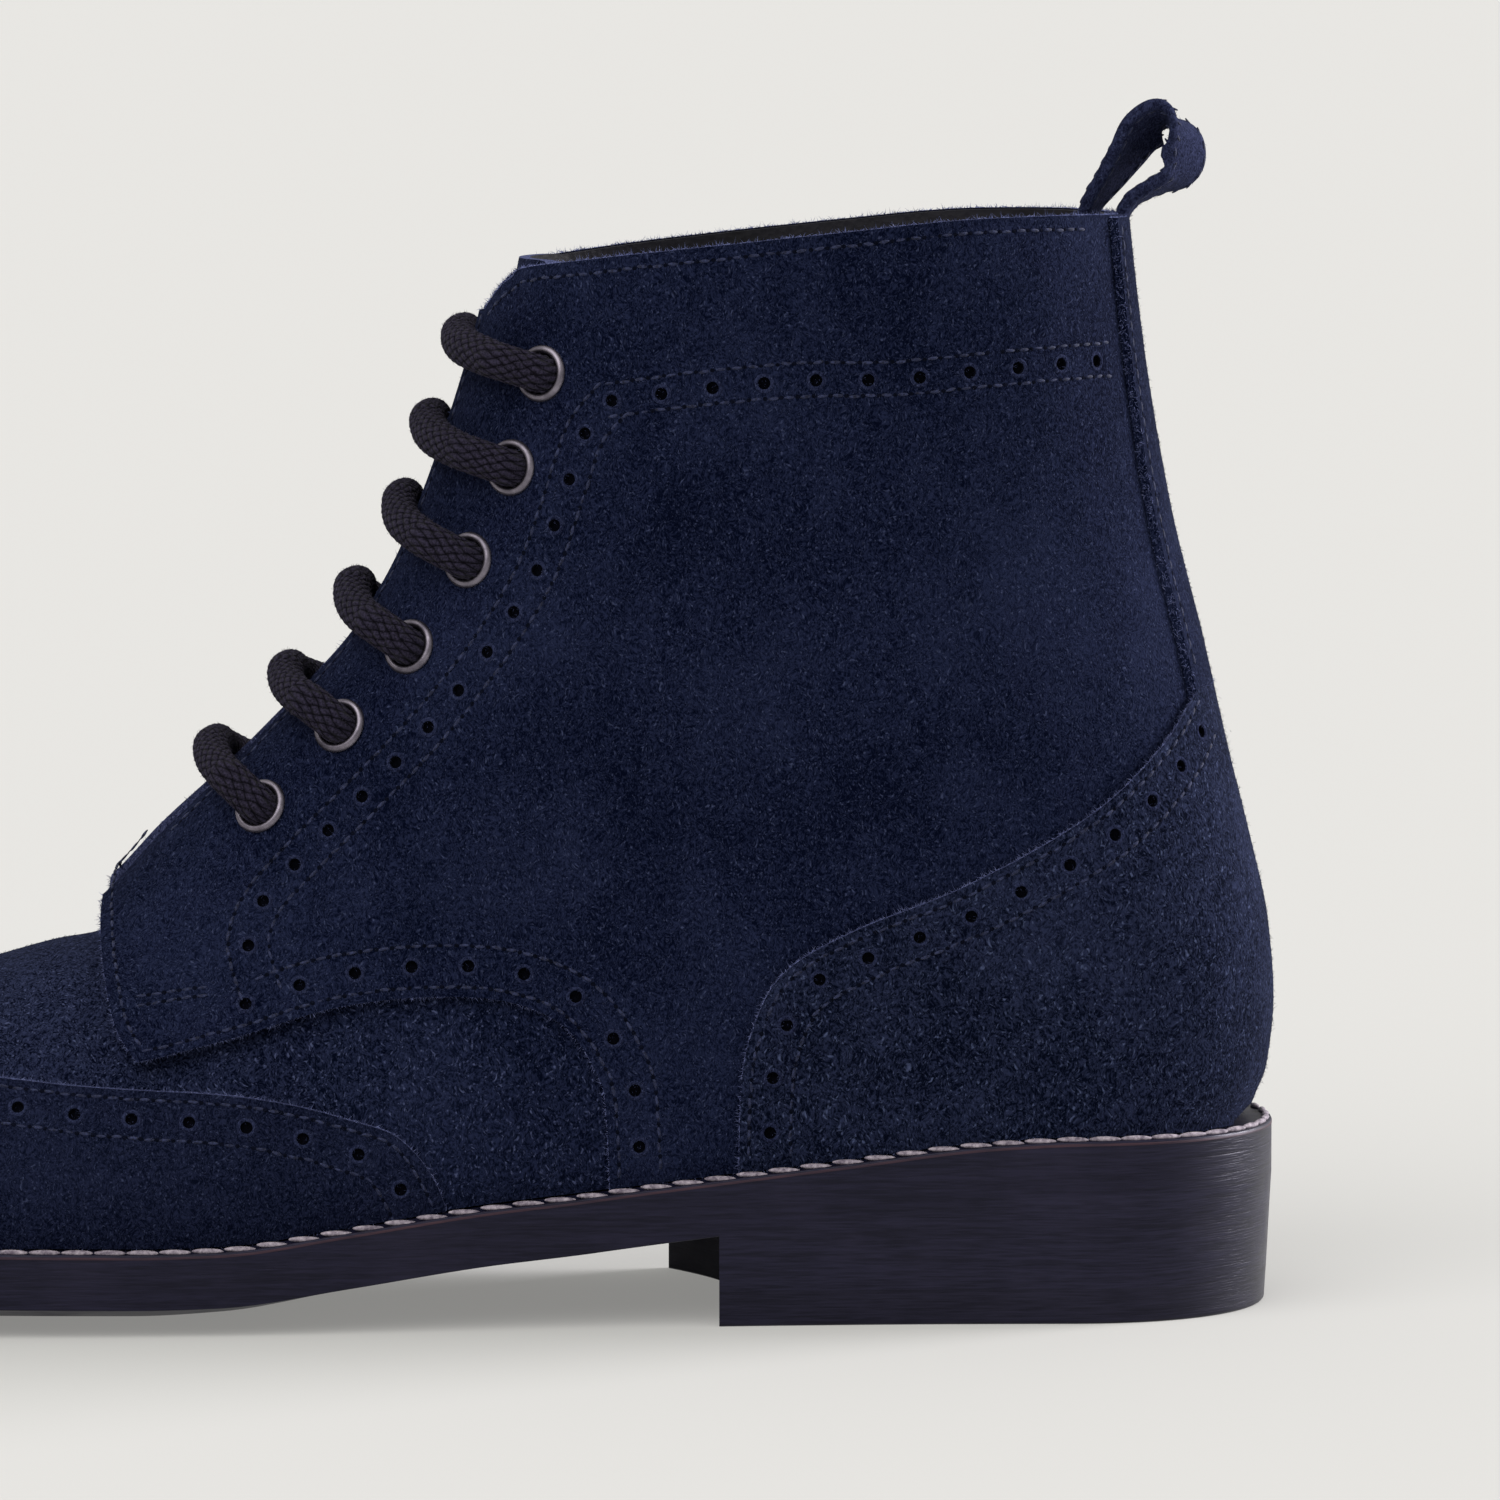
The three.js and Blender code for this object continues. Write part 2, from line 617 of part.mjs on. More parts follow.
function extruded(points, depth) {
  return new THREE.ExtrudeGeometry(new THREE.Shape(points), { depth, bevelEnabled: false, steps: 1 });
}

// Everything inside a side-view edge, from one side of the boot to the other.
function sidePrism(rows, shift = 0) {
  const points = outline(rows, ({ along, up }) => {
    const x = lengthAt(along);
    return new THREE.Vector2(x, weltTop(x) + up * COLLAR_HEIGHT + shift);
  });
  const geometry = extruded(points, 2 * BALL_WIDTH);
  geometry.rotateX(Math.PI / 2);
  geometry.translate(0, BALL_WIDTH, 0);
  return toSolid(geometry);
}

// Everything forward of the wing cap's peak, seen from above.
function peakPrism() {
  const half = WING_PEAK.map(({ along, across }) => new THREE.Vector2(lengthAt(along), across * BALL_WIDTH));
  const centre = swing(half[0].x);
  const far = lengthAt(-0.06);
  const inner = half.map(({ x, y }) => new THREE.Vector2(x, centre + y));
  const outer = half.slice(1).reverse().map(({ x, y }) => new THREE.Vector2(x, centre - y));
  const reach = WING_PEAK[WING_PEAK.length - 1].across * BALL_WIDTH;
  const front = [new THREE.Vector2(far, centre + reach), new THREE.Vector2(far, centre - reach)];
  return toSolid(extruded([...inner, ...front, ...outer], COLLAR_HEIGHT));
}

// A prism along X over a shape seen from behind.
function endPrism(points, from, to) {
  const geometry = extruded(points.map(([y, z]) => new THREE.Vector2(y, z)), to - from);
  geometry.rotateX(Math.PI / 2);
  geometry.rotateZ(Math.PI / 2);
  geometry.translate(from, 0, 0);
  return toSolid(geometry);
}

// Everything at or below the welt, up to a clearance over it.
function below(clearance) {
  const start = TOE - 2 * SOLE_MARGIN;
  const end = heelCurve(0) + 2 * SOLE_MARGIN;
  const sheet = (height) => (t, j) => {
    const x = lerp(start, end, t);
    return new THREE.Vector3(x, (j - 0.5) * 2 * BALL_WIDTH, height(x));
  };
  return slab(41, 2, sheet((x) => weltTop(x) + clearance), sheet(() => -COLLAR_HEIGHT));
}

const ground = below(GAP);
const quarterArea = sidePrism(QUARTER_EDGE);
const collarHeight = weltTop(heelCurve(COLLAR_HEIGHT)) + COLLAR_HEIGHT;
const backWall = heelCurve(COLLAR_HEIGHT);

// Eyelet seats: centre on the quarter's face, outward direction and lace run.
const eyeletSeats = EYELETS.map(({ along, up }) => {
  const x = lengthAt(along);
  const height = up * COLLAR_HEIGHT;
  return [-1, 1].map((side) => {
    const { section, share } = locate(x, height, QUARTER);
    const centre = skinPoint(section, share, side, QUARTER);
    const onward = skinPoint(section + 0.05, share, side, QUARTER).sub(centre);
    const across = skinPoint(section, share + 0.01, side, QUARTER).sub(centre);
    const normal = onward.cross(across).normalize();
    if (normal.y * side < 0) normal.negate();
    return { centre, normal, section, share, side, ridge: ridgeOver(x, height) };
  });
});

function alongNormal(geometry, seat) {
  geometry.applyQuaternion(new THREE.Quaternion().setFromUnitVectors(new THREE.Vector3(0, 1, 0), seat.normal));
  geometry.translate(seat.centre.x, seat.centre.y, seat.centre.z);
  return geometry;
}

const wallThickness = QUARTER_SKIN + LINING_DEPTH;

function eyeletHole(seat) {
  const radius = EYELET_TUBE / 2 + GAP;
  return toSolid(alongNormal(new THREE.CylinderGeometry(radius, radius, 3 * wallThickness, ROUND_STEPS), seat));
}

function eyelet(seat) {
  const bore = EYELET_BORE / 2;
  const tube = EYELET_TUBE / 2;
  const rim = EYELET_OUTER / 2;
  const profile = [
    [bore, -wallThickness * 0.8],
    [tube, -wallThickness * 0.8],
    [tube, GAP],
    [rim, GAP],
    [rim - EYELET_RIM / 2, GAP + EYELET_RIM],
    [bore, GAP + EYELET_RIM / 2],
    [bore, -wallThickness * 0.8],
  ].map(([radius, height]) => new THREE.Vector2(radius, height));
  return toSolid(alongNormal(new THREE.LatheGeometry(profile, ROUND_STEPS), seat));
}

function throatSlot() {
  const low = THROAT_WIDTH / 2;
  const high = low + THROAT_FLARE / 2;
  const centre = swing(lengthAt(EYELETS[0].along)) / 2;
  const points = [[centre - low, 0], [centre + low, 0], [centre + low, VAMP_HEIGHT]];
  const top = THROAT_REACH.over * COLLAR_HEIGHT;
  points.push([centre + high, top], [centre - high, top], [centre - low, VAMP_HEIGHT]);
  return endPrism(points, TOE, lengthAt(THROAT_REACH.end));
}

// The upper: vamp and quarters as one wall, the quarters a step higher and standing off the
// instep at their facings.
function upper() {
  const vamp = skinSolid(VAMP).subtract(skinSolid(LINING)).intersect(sidePrism(VAMP_REAR));
  const hollow = skinSolid(QUARTER).subtract(skinSolid(QUARTER_INSIDE));
  let quarters = hollow.intersect(quarterArea).subtract(throatSlot());
  for (const pair of eyeletSeats) {
    for (const seat of pair) quarters = quarters.subtract(eyeletHole(seat));
  }
  return vamp.add(quarters).subtract(ground);
}

function overlay(skin, area) {
  const outside = skinSolid(over(skin, GAP + OVERLAY_THICKNESS));
  return outside.subtract(skinSolid(over(skin, GAP))).intersect(area).subtract(ground);
}

function backstay() {
  const half = BACKSTAY_WIDTH / 2;
  const spread = half + BACKSTAY_SPREAD;
  const top = collarHeight - LOOP_LEG - GAP;
  const shape = [[-spread, 0], [spread, 0], [half, top], [-half, top]];
  const strip = endPrism(shape, lengthAt(0.75), lengthAt(1.1));
  return overlay(QUARTER, strip).subtract(sidePrism(COUNTER_EDGE, GAP));
}

function tongue() {
  const root = swing(lengthAt(TONGUE_REACH.root));
  const half = TONGUE_WIDTH / 2;
  const shoulder = half - TONGUE_REACH.corner;
  const area = endPrism([
    [root - half, 0],
    [root + half, 0],
    [half, collarHeight - 2 * LOOP_LEG],
    [shoulder, collarHeight - LOOP_LEG],
    [-shoulder, collarHeight - LOOP_LEG],
    [-half, collarHeight - 2 * LOOP_LEG],
  ], lengthAt(TONGUE_REACH.start), lengthAt(TONGUE_REACH.end));
  const leaf = skinSolid(TONGUE).subtract(skinSolid(over(TONGUE, -TONGUE_THICKNESS)));
  return leaf.intersect(area).subtract(sidePrism(TONGUE_FOOT));
}

// A lace bar lies over the facings from one eyelet to its partner.
function laceBar([outer, inner]) {
  const radius = LACE_DIAMETER / 2;
  const points = [];
  const steps = 8;
  for (const seat of [outer, inner]) {
    const half = [];
    for (let i = 0; i <= steps; i += 1) {
      const t = i / steps;
      const share = lerp(seat.share, 1, Math.sin((Math.PI * t) / 2));
      const section = lerp(seat.section, seat.ridge, t);
      const clear = GAP + EYELET_RIM * (1 - smooth(0.3, 0.9, t));
      half.push(skinPoint(section, share, seat.side, over(QUARTER, radius + GAP + clear)));
    }
    points.push(...(seat === outer ? half : half.slice(0, -1).reverse()));
  }
  const section = new THREE.Shape();
  section.absarc(0, 0, radius, 0, 2 * Math.PI);
  const extrudePath = new THREE.CatmullRomCurve3(points);
  return toSolid(new THREE.ExtrudeGeometry(section, { steps: 11, curveSegments: 4, extrudePath }));
}

// A flat strap along the loop's middle line.
function pullLoop() {
  const middle = new THREE.CatmullRomCurve3(LOOP.map(({ out, up }) => (
    new THREE.Vector3(backWall + out * LOOP_REACH + QUARTER_SKIN, 0, collarHeight + up * LOOP_HEIGHT)
  )), false, 'centripetal');
  const steps = 2 * (LOOP.length - 1);
  const stations = [];
  for (let i = 0; i <= steps; i += 1) {
    const row = (i / steps) * (LOOP.length - 1);
    const turn = THREE.MathUtils.degToRad(flow(LOOP.map((entry) => entry.turn))(row));
    const tangent = middle.getTangent(i / steps);
    const width = new THREE.Vector3(Math.sin(turn), Math.cos(turn), 0);
    const face = tangent.clone().cross(width).normalize();
    stations.push({ centre: middle.getPoint(i / steps), width: face.clone().cross(tangent).normalize(), face });
  }
  const sheet = (side) => (t, j) => {
    const { centre, width, face } = stations[Math.round(t * steps)];
    const point = centre.clone().addScaledVector(width, (j - 0.5) * LOOP_WIDTH);
    return point.addScaledVector(face, (side * LOOP_THICKNESS) / 2);
  };
  return slab(steps + 1, 2, sheet(1), sheet(-1));
}

const dish = (r) => (Math.max(0, Math.abs(r) - FLAT_SPOT) / (1 - FLAT_SPOT)) ** 2;
const outsoleBottom = (x, r) => soleCentre(x) + soleCrown(x) * dish(r);
const weltInside = -LINING_DEPTH - GAP;

const outsole = plate(SOLE_MARGIN, DISHED_ACROSS, outsoleTop, outsoleBottom);
const weltHole = plate(weltInside, FLAT_ACROSS, () => COLLAR_HEIGHT, () => -COLLAR_HEIGHT);
const weltBottom = (x) => outsoleTop(x) + GAP;
const welt = plate(SOLE_MARGIN, FLAT_ACROSS, weltTop, weltBottom).subtract(weltHole);
const insole = plate(weltInside - GAP, FLAT_ACROSS, weltTop, weltBottom);
const taperAt = (height) => SOLE_MARGIN - HEEL_TAPER * (1 - height / HEEL_HEIGHT);
const stackBottom = TOP_PIECE_THICKNESS + GAP;
const heelStack = heelBlock(SOLE_MARGIN, taperAt(stackBottom), (x) => soleCentre(x) - GAP, () => stackBottom);
const topPiece = heelBlock(taperAt(TOP_PIECE_THICKNESS), taperAt(0), () => TOP_PIECE_THICKNESS, () => 0);
const wingArea = sidePrism(WING_EDGE).add(peakPrism());

// Materials

function material(color, roughness, metalness = 0) {
  return new THREE.MeshStandardMaterial({ color, roughness, metalness });
}

const suede = material(0x1c2338, 0.95);
const darkLining = material(0x17161c, 0.85);
const edgeLeather = material(0x211d2b, 0.5);
const rubber = material(0x1b1a20, 0.7);
const nickel = material(0x8c8a90, 0.3, 1);
const cotton = material(0x2c2c33, 0.9);

const boot = new THREE.Group();

function piece(name, solid, look) {
  const mesh = new THREE.Mesh(toGeometry(solid), look);
  mesh.name = name;
  boot.add(mesh);
}

piece('upper', upper(), suede);
piece('tongue', tongue(), suede);
piece('insole', insole, darkLining);
piece('welt', welt, edgeLeather);
piece('outsole', outsole, edgeLeather);
piece('heel_stack', heelStack, edgeLeather);
piece('heel_top_piece', topPiece, rubber);
piece('wing_cap', overlay(VAMP, wingArea), suede);
piece('heel_counter', overlay(QUARTER, sidePrism(COUNTER_EDGE)), suede);
piece('backstay', backstay(), suede);
piece('pull_loop', pullLoop(), suede);
eyeletSeats.forEach((pair, i) => {
  piece(`lace_bar_${i + 1}`, laceBar(pair), cotton);
  pair.forEach((seat) => {
    piece(`eyelet_${seat.side < 0 ? 'outer' : 'inner'}_${i + 1}`, eyelet(seat), nickel);
  });
});

// The origin is under the middle of the sole's outline.
const rimSteps = 200;
const rim = Array.from({ length: rimSteps + 1 }, (_, i) => (
  lerp(TOE - SOLE_MARGIN, heelCurve(0) + SOLE_MARGIN, i / rimSteps)
));
const outerRim = Math.min(...rim.map((x) => swing(x) - featherHalf(x, -1, SOLE_MARGIN)));
const innerRim = Math.max(...rim.map((x) => swing(x) + featherHalf(x, 1, SOLE_MARGIN)));
boot.position.set(-(rim[0] + rim[rimSteps]) / 2, -(outerRim + innerRim) / 2, 0);

export default boot;
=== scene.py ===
# %% [markdown]
# A brogue ankle boot in navy suede
#
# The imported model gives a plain, faceted boot at its real size. This lesson dresses it: every
# panel is made again from the same last, finely enough to show a soft leather surface, and then
# gets its punched holes, stitches, cut edges and finish. Lengths are in millimetres until a mesh
# is written, because a shoemaker's sizes read best that way.

# %% Load the frame
import math

import bmesh
import bpy
import numpy as np
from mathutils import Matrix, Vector


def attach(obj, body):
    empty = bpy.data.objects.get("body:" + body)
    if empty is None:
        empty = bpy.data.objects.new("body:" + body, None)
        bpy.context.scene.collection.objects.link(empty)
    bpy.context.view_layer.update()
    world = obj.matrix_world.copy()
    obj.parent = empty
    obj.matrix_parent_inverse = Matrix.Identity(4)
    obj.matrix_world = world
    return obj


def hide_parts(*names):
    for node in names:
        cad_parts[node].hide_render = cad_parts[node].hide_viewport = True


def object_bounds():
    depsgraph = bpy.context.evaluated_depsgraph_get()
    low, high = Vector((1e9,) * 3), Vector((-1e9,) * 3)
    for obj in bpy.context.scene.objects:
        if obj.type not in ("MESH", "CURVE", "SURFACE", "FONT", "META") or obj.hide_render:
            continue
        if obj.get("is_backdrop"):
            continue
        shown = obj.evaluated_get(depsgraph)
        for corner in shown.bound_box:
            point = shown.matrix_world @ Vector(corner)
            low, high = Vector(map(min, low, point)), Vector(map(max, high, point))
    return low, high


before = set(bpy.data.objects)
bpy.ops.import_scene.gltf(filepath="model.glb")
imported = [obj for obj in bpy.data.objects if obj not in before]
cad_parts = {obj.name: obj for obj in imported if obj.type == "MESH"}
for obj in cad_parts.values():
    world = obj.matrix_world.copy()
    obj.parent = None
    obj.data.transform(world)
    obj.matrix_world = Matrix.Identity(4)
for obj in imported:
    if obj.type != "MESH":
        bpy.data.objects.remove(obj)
cad_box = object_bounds()
MM = 0.001
random = np.random.default_rng(7)
print("CAD nodes:", len(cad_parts))

# %% [markdown]
# The last
#
# A boot is drawn over a last, a solid foot shape that a maker describes by a few sizes and a set
# of sections. It could be sculpted by hand, but then the panels, the holes and the lace would all
# need fitting by eye. Here the last is a function: give it a section, a share along that section
# and a side, and it returns a point. Every later piece asks this function where it belongs.

# %% Sizes of the last and the leather
LAST_LENGTH = 291
BALL_WIDTH = 93
SHAFT_WIDTH = 72
COLLAR_HEIGHT = 148
VAMP_HEIGHT = 46
TOE_ROUND = 46
HEEL_ROUND = 27
SHAFT_ROUND = 50
HEEL_HEIGHT = 20.8
TOE_SPRING = 15
SOLE_CROWN = 4.6
OUTSOLE_THICKNESS = 5.6
WELT_THICKNESS = 3.1
SOLE_MARGIN = 7
TOP_PIECE_THICKNESS = 5.8
HEEL_TAPER = 1.1
SEAM_GAP = 0.3
LINING_DEPTH = 0.8
VAMP_SKIN = 0.7
QUARTER_SKIN = 1.9
OVERLAY_THICKNESS = 1.1
QUARTER_LIFT = 5.6
TONGUE_LIFT = 3.0
TOE = -LAST_LENGTH / 2
SKIRT = 12
LEAST_HALF = 0.02
print("last:", LAST_LENGTH, "mm long,", BALL_WIDTH, "mm wide at the ball")


# %% Curves of the sole, the plan and the shaft
def table(names, *rows):
    """A short table with named columns, one row for each place."""
    return {name: np.array(values, float) for name, values in zip(names.split(), zip(*rows))}


RISE = table(
    "at heel spring crown",
    (-0.04, 0, 1.1, 0.3), (-0.02, 0, 1.0, 0.35), (0.048, 0, 0.62, 0.6), (0.117, 0, 0.32, 0.9),
    (0.186, 0, 0.11, 1), (0.254, 0, 0, 1), (0.375, 0, 0, 0.95), (0.426, 0.05, 0, 0.78),
    (0.495, 0.26, 0, 0.42), (0.567, 0.475, 0, 0.12), (0.632, 0.6, 0, 0), (0.698, 0.71, 0, 0),
    (0.77, 0.83, 0, 0), (0.852, 0.965, 0, 0), (0.907, 1, 0, 0), (1.05, 1, 0, 0),
)
PLAN = table(
    "at outer inner swing",
    (-0.03, 0.39, 0.41, 0.06), (0, 0.4, 0.42, 0.058), (0.12, 0.445, 0.475, 0.054),
    (0.2, 0.475, 0.505, 0.046), (0.27, 0.488, 0.512, 0.038), (0.33, 0.482, 0.49, 0.029),
    (0.42, 0.455, 0.42, 0.018), (0.52, 0.405, 0.32, 0.006), (0.62, 0.355, 0.265, 0),
    (0.72, 0.32, 0.265, 0), (0.82, 0.3, 0.285, 0), (0.9, 0.295, 0.292, 0), (1.03, 0.29, 0.29, 0),
)
SHAFT = table(
    "at width back",
    (-0.12, 0.86, 0.9855), (-0.08, 0.86, 0.986), (0, 0.86, 0.9865), (0.062, 0.865, 0.9965),
    (0.135, 0.872, 1), (0.222, 0.882, 0.9965), (0.3, 0.89, 0.988), (0.41, 0.901, 0.974),
    (0.53, 0.92, 0.96), (0.68, 0.946, 0.941), (0.85, 0.977, 0.926), (1, 1, 0.917),
    (1.14, 1.014, 0.911),
)
print("rows:", len(RISE["at"]), len(PLAN["at"]), len(SHAFT["at"]))

# %% Sections of the last
# The first ten sections start on the heel curve, the others under the feather edge.
HEEL_SECTIONS = table(
    "start ridge vamp shaft round power",
    (1.12, 0.601, 1, 1.19, 0.5, 2.2), (1, 0.593, 1, 1.025, 0.5, 2.2),
    (0.88, 0.579, 1, 0.865, 0.5, 2.2), (0.75, 0.5567, 1, 0.681, 0.5, 2.2),
    (0.61, 0.535, 1, 0.541, 0.5, 2.2), (0.48, 0.507, 1, 0.422, 0.5, 2.2),
    (0.35, 0.479, 1, 0.341, 0.5, 2.2), (0.24, 0.457, 1, 0.284, 0.49, 2.2),
    (0.12, 0.4364, 1, 0.229, 0.48, 2.2), (0.01, 0.421, 1, 0.189, 0.46, 2.2),
)
FEATHER_SECTIONS = table(
    "start ridge vamp shaft round power",
    (0.985, 0.407, 1, 0.153, 0.44, 2.2), (0.94, 0.395, 1, 0.119, 0.42, 2.2),
    (0.87, 0.385, 1, 0.086, 0.39, 2.2), (0.77, 0.3746, 1, 0.054, 0.35, 2.15),
    (0.66, 0.3625, 1, 0.022, 0.3, 2.1), (0.545, 0.347, 0.991, 0, 0.25, 2.1),
    (0.445, 0.321, 0.957, 0, 0.22, 2.1), (0.35, 0.282, 0.885, 0, 0.21, 2.1),
    (0.268, 0.227, 0.785, 0, 0.22, 2.15), (0.206, 0.168, 0.68, 0, 0.25, 2.2),
    (0.168, 0.11, 0.565, 0, 0.28, 2.25), (0.148, 0.062, 0.455, 0, 0.33, 2.2),
    (0.138, 0.0275, 0.335, 0, 0.42, 2.1), (0.131, 0.007, 0.185, 0, 0.55, 2),
    (0.127, 0, 0.02, 0, 0.8, 2), (0.124, 0, -0.13, 0, 1, 2), (0.121, 0, -0.26, 0, 1, 2),
)
LAST_ON_HEEL = len(HEEL_SECTIONS["start"]) - 1
LAST_SECTION = LAST_ON_HEEL + len(FEATHER_SECTIONS["start"])
EAR_SECTION = 17
LIFT_END = 20
TONGUE_ROOT = 10.6
TONGUE_FREE = 8
print("sections on the heel:", LAST_ON_HEEL + 1, "and under the feather edge:", LAST_SECTION - LAST_ON_HEEL)


# %% Smooth curves
def length_at(share):
    return TOE + share * LAST_LENGTH


def share_at(x):
    return (x - TOE) / LAST_LENGTH


def smooth(start, end, value):
    t = np.clip((value - start) / (end - start), 0, 1)
    return t * t * (3 - 2 * t)


def column(rows, name):
    """A curve through one column of a table that never swings past its rows."""
    at, values = rows["at"], rows[name]
    steps = np.diff(values) / np.diff(at)
    slopes = np.concatenate([steps[:1], np.zeros(len(steps) - 1), steps[-1:]])
    for i in range(1, len(steps)):
        if steps[i - 1] * steps[i] > 0:
            slopes[i] = 2 * steps[i - 1] * steps[i] / (steps[i - 1] + steps[i])

    def read(place):
        place = np.clip(place, at[0], at[-1])
        i = np.clip(np.searchsorted(at, place) - 1, 0, len(at) - 2)
        span = at[i + 1] - at[i]
        t = (place - at[i]) / span
        ends = values[i] * (2 * t**3 - 3 * t**2 + 1) + values[i + 1] * (3 * t**2 - 2 * t**3)
        bend = slopes[i] * (t**3 - 2 * t**2 + t) + slopes[i + 1] * (t**3 - t**2)
        return ends + bend * span

    return read


def flow(values):
    """A flowing curve through values, or points, that stand one step apart."""
    values = np.asarray(values, float)

    def read(place):
        place = np.asarray(place, float)
        i = np.clip(np.floor(place).astype(int), 0, len(values) - 2)
        t = place - i
        if values.ndim > 1:
            t = t[..., None]
        before, here, there = values[np.maximum(i - 1, 0)], values[i], values[i + 1]
        after = values[np.minimum(i + 2, len(values) - 1)]
        bend = 2 * before - 5 * here + 4 * there - after
        twist = 3 * here - before - 3 * there + after
        return here + 0.5 * ((there - before) * t + bend * t**2 + twist * t**3)

    return read


print("halfway between 0 and 1 a flow reads", float(flow([0, 1])(0.5)))

# %% Heights, widths and sections as functions
heel_share, spring_share = column(RISE, "heel"), column(RISE, "spring")
crown_share, swing_share = column(RISE, "crown"), column(PLAN, "swing")
outer_share, inner_share = column(PLAN, "outer"), column(PLAN, "inner")
shaft_share, back_share = column(SHAFT, "width"), column(SHAFT, "back")


def sole_centre(x):
    return HEEL_HEIGHT * heel_share(share_at(x)) + TOE_SPRING * spring_share(share_at(x))


def sole_crown(x):
    return SOLE_CROWN * crown_share(share_at(x))


def outsole_top(x):
    return sole_centre(x) + sole_crown(x) + OUTSOLE_THICKNESS


def welt_top(x):
    return outsole_top(x) + SEAM_GAP + WELT_THICKNESS


def swing(x):
    return BALL_WIDTH * swing_share(share_at(x))


def heel_curve(height):
    return length_at(back_share(height / COLLAR_HEIGHT))


def rounding(distance, size, power):
    rest = np.clip(1 - distance / size, 0, 1)
    return (1 - rest**power) ** (1 / power)


def plan_half(x, side, grow):
    share = np.where(np.asarray(side) < 0, outer_share(share_at(x)), inner_share(share_at(x)))
    return BALL_WIDTH * share + grow


def feather_half(x, side, grow):
    toe = rounding(x - (TOE - grow), TOE_ROUND + grow, 2.25)
    heel = rounding(heel_curve(0.0) + grow - x, HEEL_ROUND + grow, 2.15)
    return np.maximum(plan_half(x, side, grow) * toe * heel, LEAST_HALF)


both = {key: np.concatenate([HEEL_SECTIONS[key], FEATHER_SECTIONS[key]]) for key in HEEL_SECTIONS}
end_heights = np.where(np.arange(LAST_SECTION + 1) <= LAST_ON_HEEL, both["start"] * COLLAR_HEIGHT, -SKIRT)
end_lengths = np.where(
    np.arange(LAST_SECTION + 1) <= LAST_ON_HEEL, heel_curve(end_heights), length_at(both["start"])
)
ridge_lengths = length_at(both["ridge"])
ridge_heights = both["vamp"] * VAMP_HEIGHT + both["shaft"] * (COLLAR_HEIGHT - VAMP_HEIGHT)
end_height, end_length = flow(end_heights), flow(end_lengths)
ridge_length, ridge_height = flow(ridge_lengths), flow(ridge_heights)
round_share, round_power = flow(both["round"]), flow(both["power"])
collar_height = float(welt_top(heel_curve(COLLAR_HEIGHT))) + COLLAR_HEIGHT
print("sections:", LAST_SECTION + 1, "collar at", round(collar_height, 1))

# %% [markdown]
# Soft creases
#
# A boot that has been tried on a few times isn't a smooth egg: the leather hollows behind the
# ankle, swells over the ankle bone and folds a little where the foot bends. They could be noise,
# but noise looks like damage. Here each one is listed, in shares of the boot's own length
# and height, as a soft ridge or trough that the last function adds to its width.

# %% Creases listed one by one
CREASES = table(
    "along up length width turn depth",
    (0.80, 0.50, 0.16, 0.10, 80, 0.9),
    (0.70, 0.36, 0.10, 0.12, 20, -0.7),
    (0.60, 0.55, 0.20, 0.045, 55, 0.55),
    (0.66, 0.62, 0.18, 0.04, 50, -0.45),
    (0.52, 0.34, 0.13, 0.05, 30, 0.5),
    (0.45, 0.31, 0.08, 0.035, 65, -0.45),
    (0.88, 0.80, 0.14, 0.05, 85, 0.5),
    (0.72, 0.86, 0.16, 0.05, 10, -0.4),
    (0.30, 0.20, 0.07, 0.025, 75, 0.35),
    (0.265, 0.19, 0.07, 0.02, 80, -0.35),
    (0.86, 0.22, 0.12, 0.08, 20, -0.5),
)
PEBBLE = 0.12
CREASE_STRENGTH = 1.5


def relief(x, height):
    """How far the leather stands off its smooth form, in millimetres."""
    along, up = share_at(x), height / COLLAR_HEIGHT
    total = PEBBLE * np.sin(along * 61 + 3 * np.sin(up * 23)) * np.sin(up * 47 + 2 * np.sin(along * 31))
    for row in zip(*CREASES.values()):
        centre_along, centre_up, length, width, turn, depth = row
        angle = math.radians(turn)
        right = (along - centre_along) * LAST_LENGTH
        rise = (up - centre_up) * COLLAR_HEIGHT
        down_it = (right * math.cos(angle) + rise * math.sin(angle)) / (length * LAST_LENGTH)
        across_it = (rise * math.cos(angle) - right * math.sin(angle)) / (width * LAST_LENGTH)
        total = total + CREASE_STRENGTH * depth * np.exp(-(down_it**2) * 3 - across_it**2 * 3)
    return total


print("creases:", len(CREASES["along"]))

# %% Points on the last
LINING = {"grow": -LINING_DEPTH, "lift": 0.0, "fade": (EAR_SECTION, LIFT_END)}
VAMP = {**LINING, "grow": VAMP_SKIN}
QUARTER = {**LINING, "grow": QUARTER_SKIN, "lift": QUARTER_LIFT}
TONGUE = {"grow": -LINING_DEPTH - SEAM_GAP, "lift": TONGUE_LIFT, "fade": (TONGUE_FREE, TONGUE_ROOT)}


def over(skin, distance):
    return {**skin, "grow": skin["grow"] + distance}


def ridge_normal(section):
    before = np.maximum(0, section - 0.5)
    after = np.minimum(LAST_SECTION, section + 0.5)
    along = ridge_length(after) - ridge_length(before)
    up = ridge_height(after) - ridge_height(before)
    size = np.hypot(along, up)
    return up / size, -along / size


def chord(section, skin):
    section = np.asarray(section, float)
    lift = skin["lift"] * (1 - smooth(*skin["fade"], section))
    along, up = ridge_normal(section)
    ridge_x = ridge_length(section) + along * (skin["grow"] + lift)
    ridge_h = ridge_height(section) + up * (skin["grow"] + lift)
    end_h = end_height(section)
    on_heel = section <= LAST_ON_HEEL
    end_x = np.where(on_heel, heel_curve(end_h) + skin["grow"], end_length(section))
    return end_x, end_h, ridge_x, ridge_h


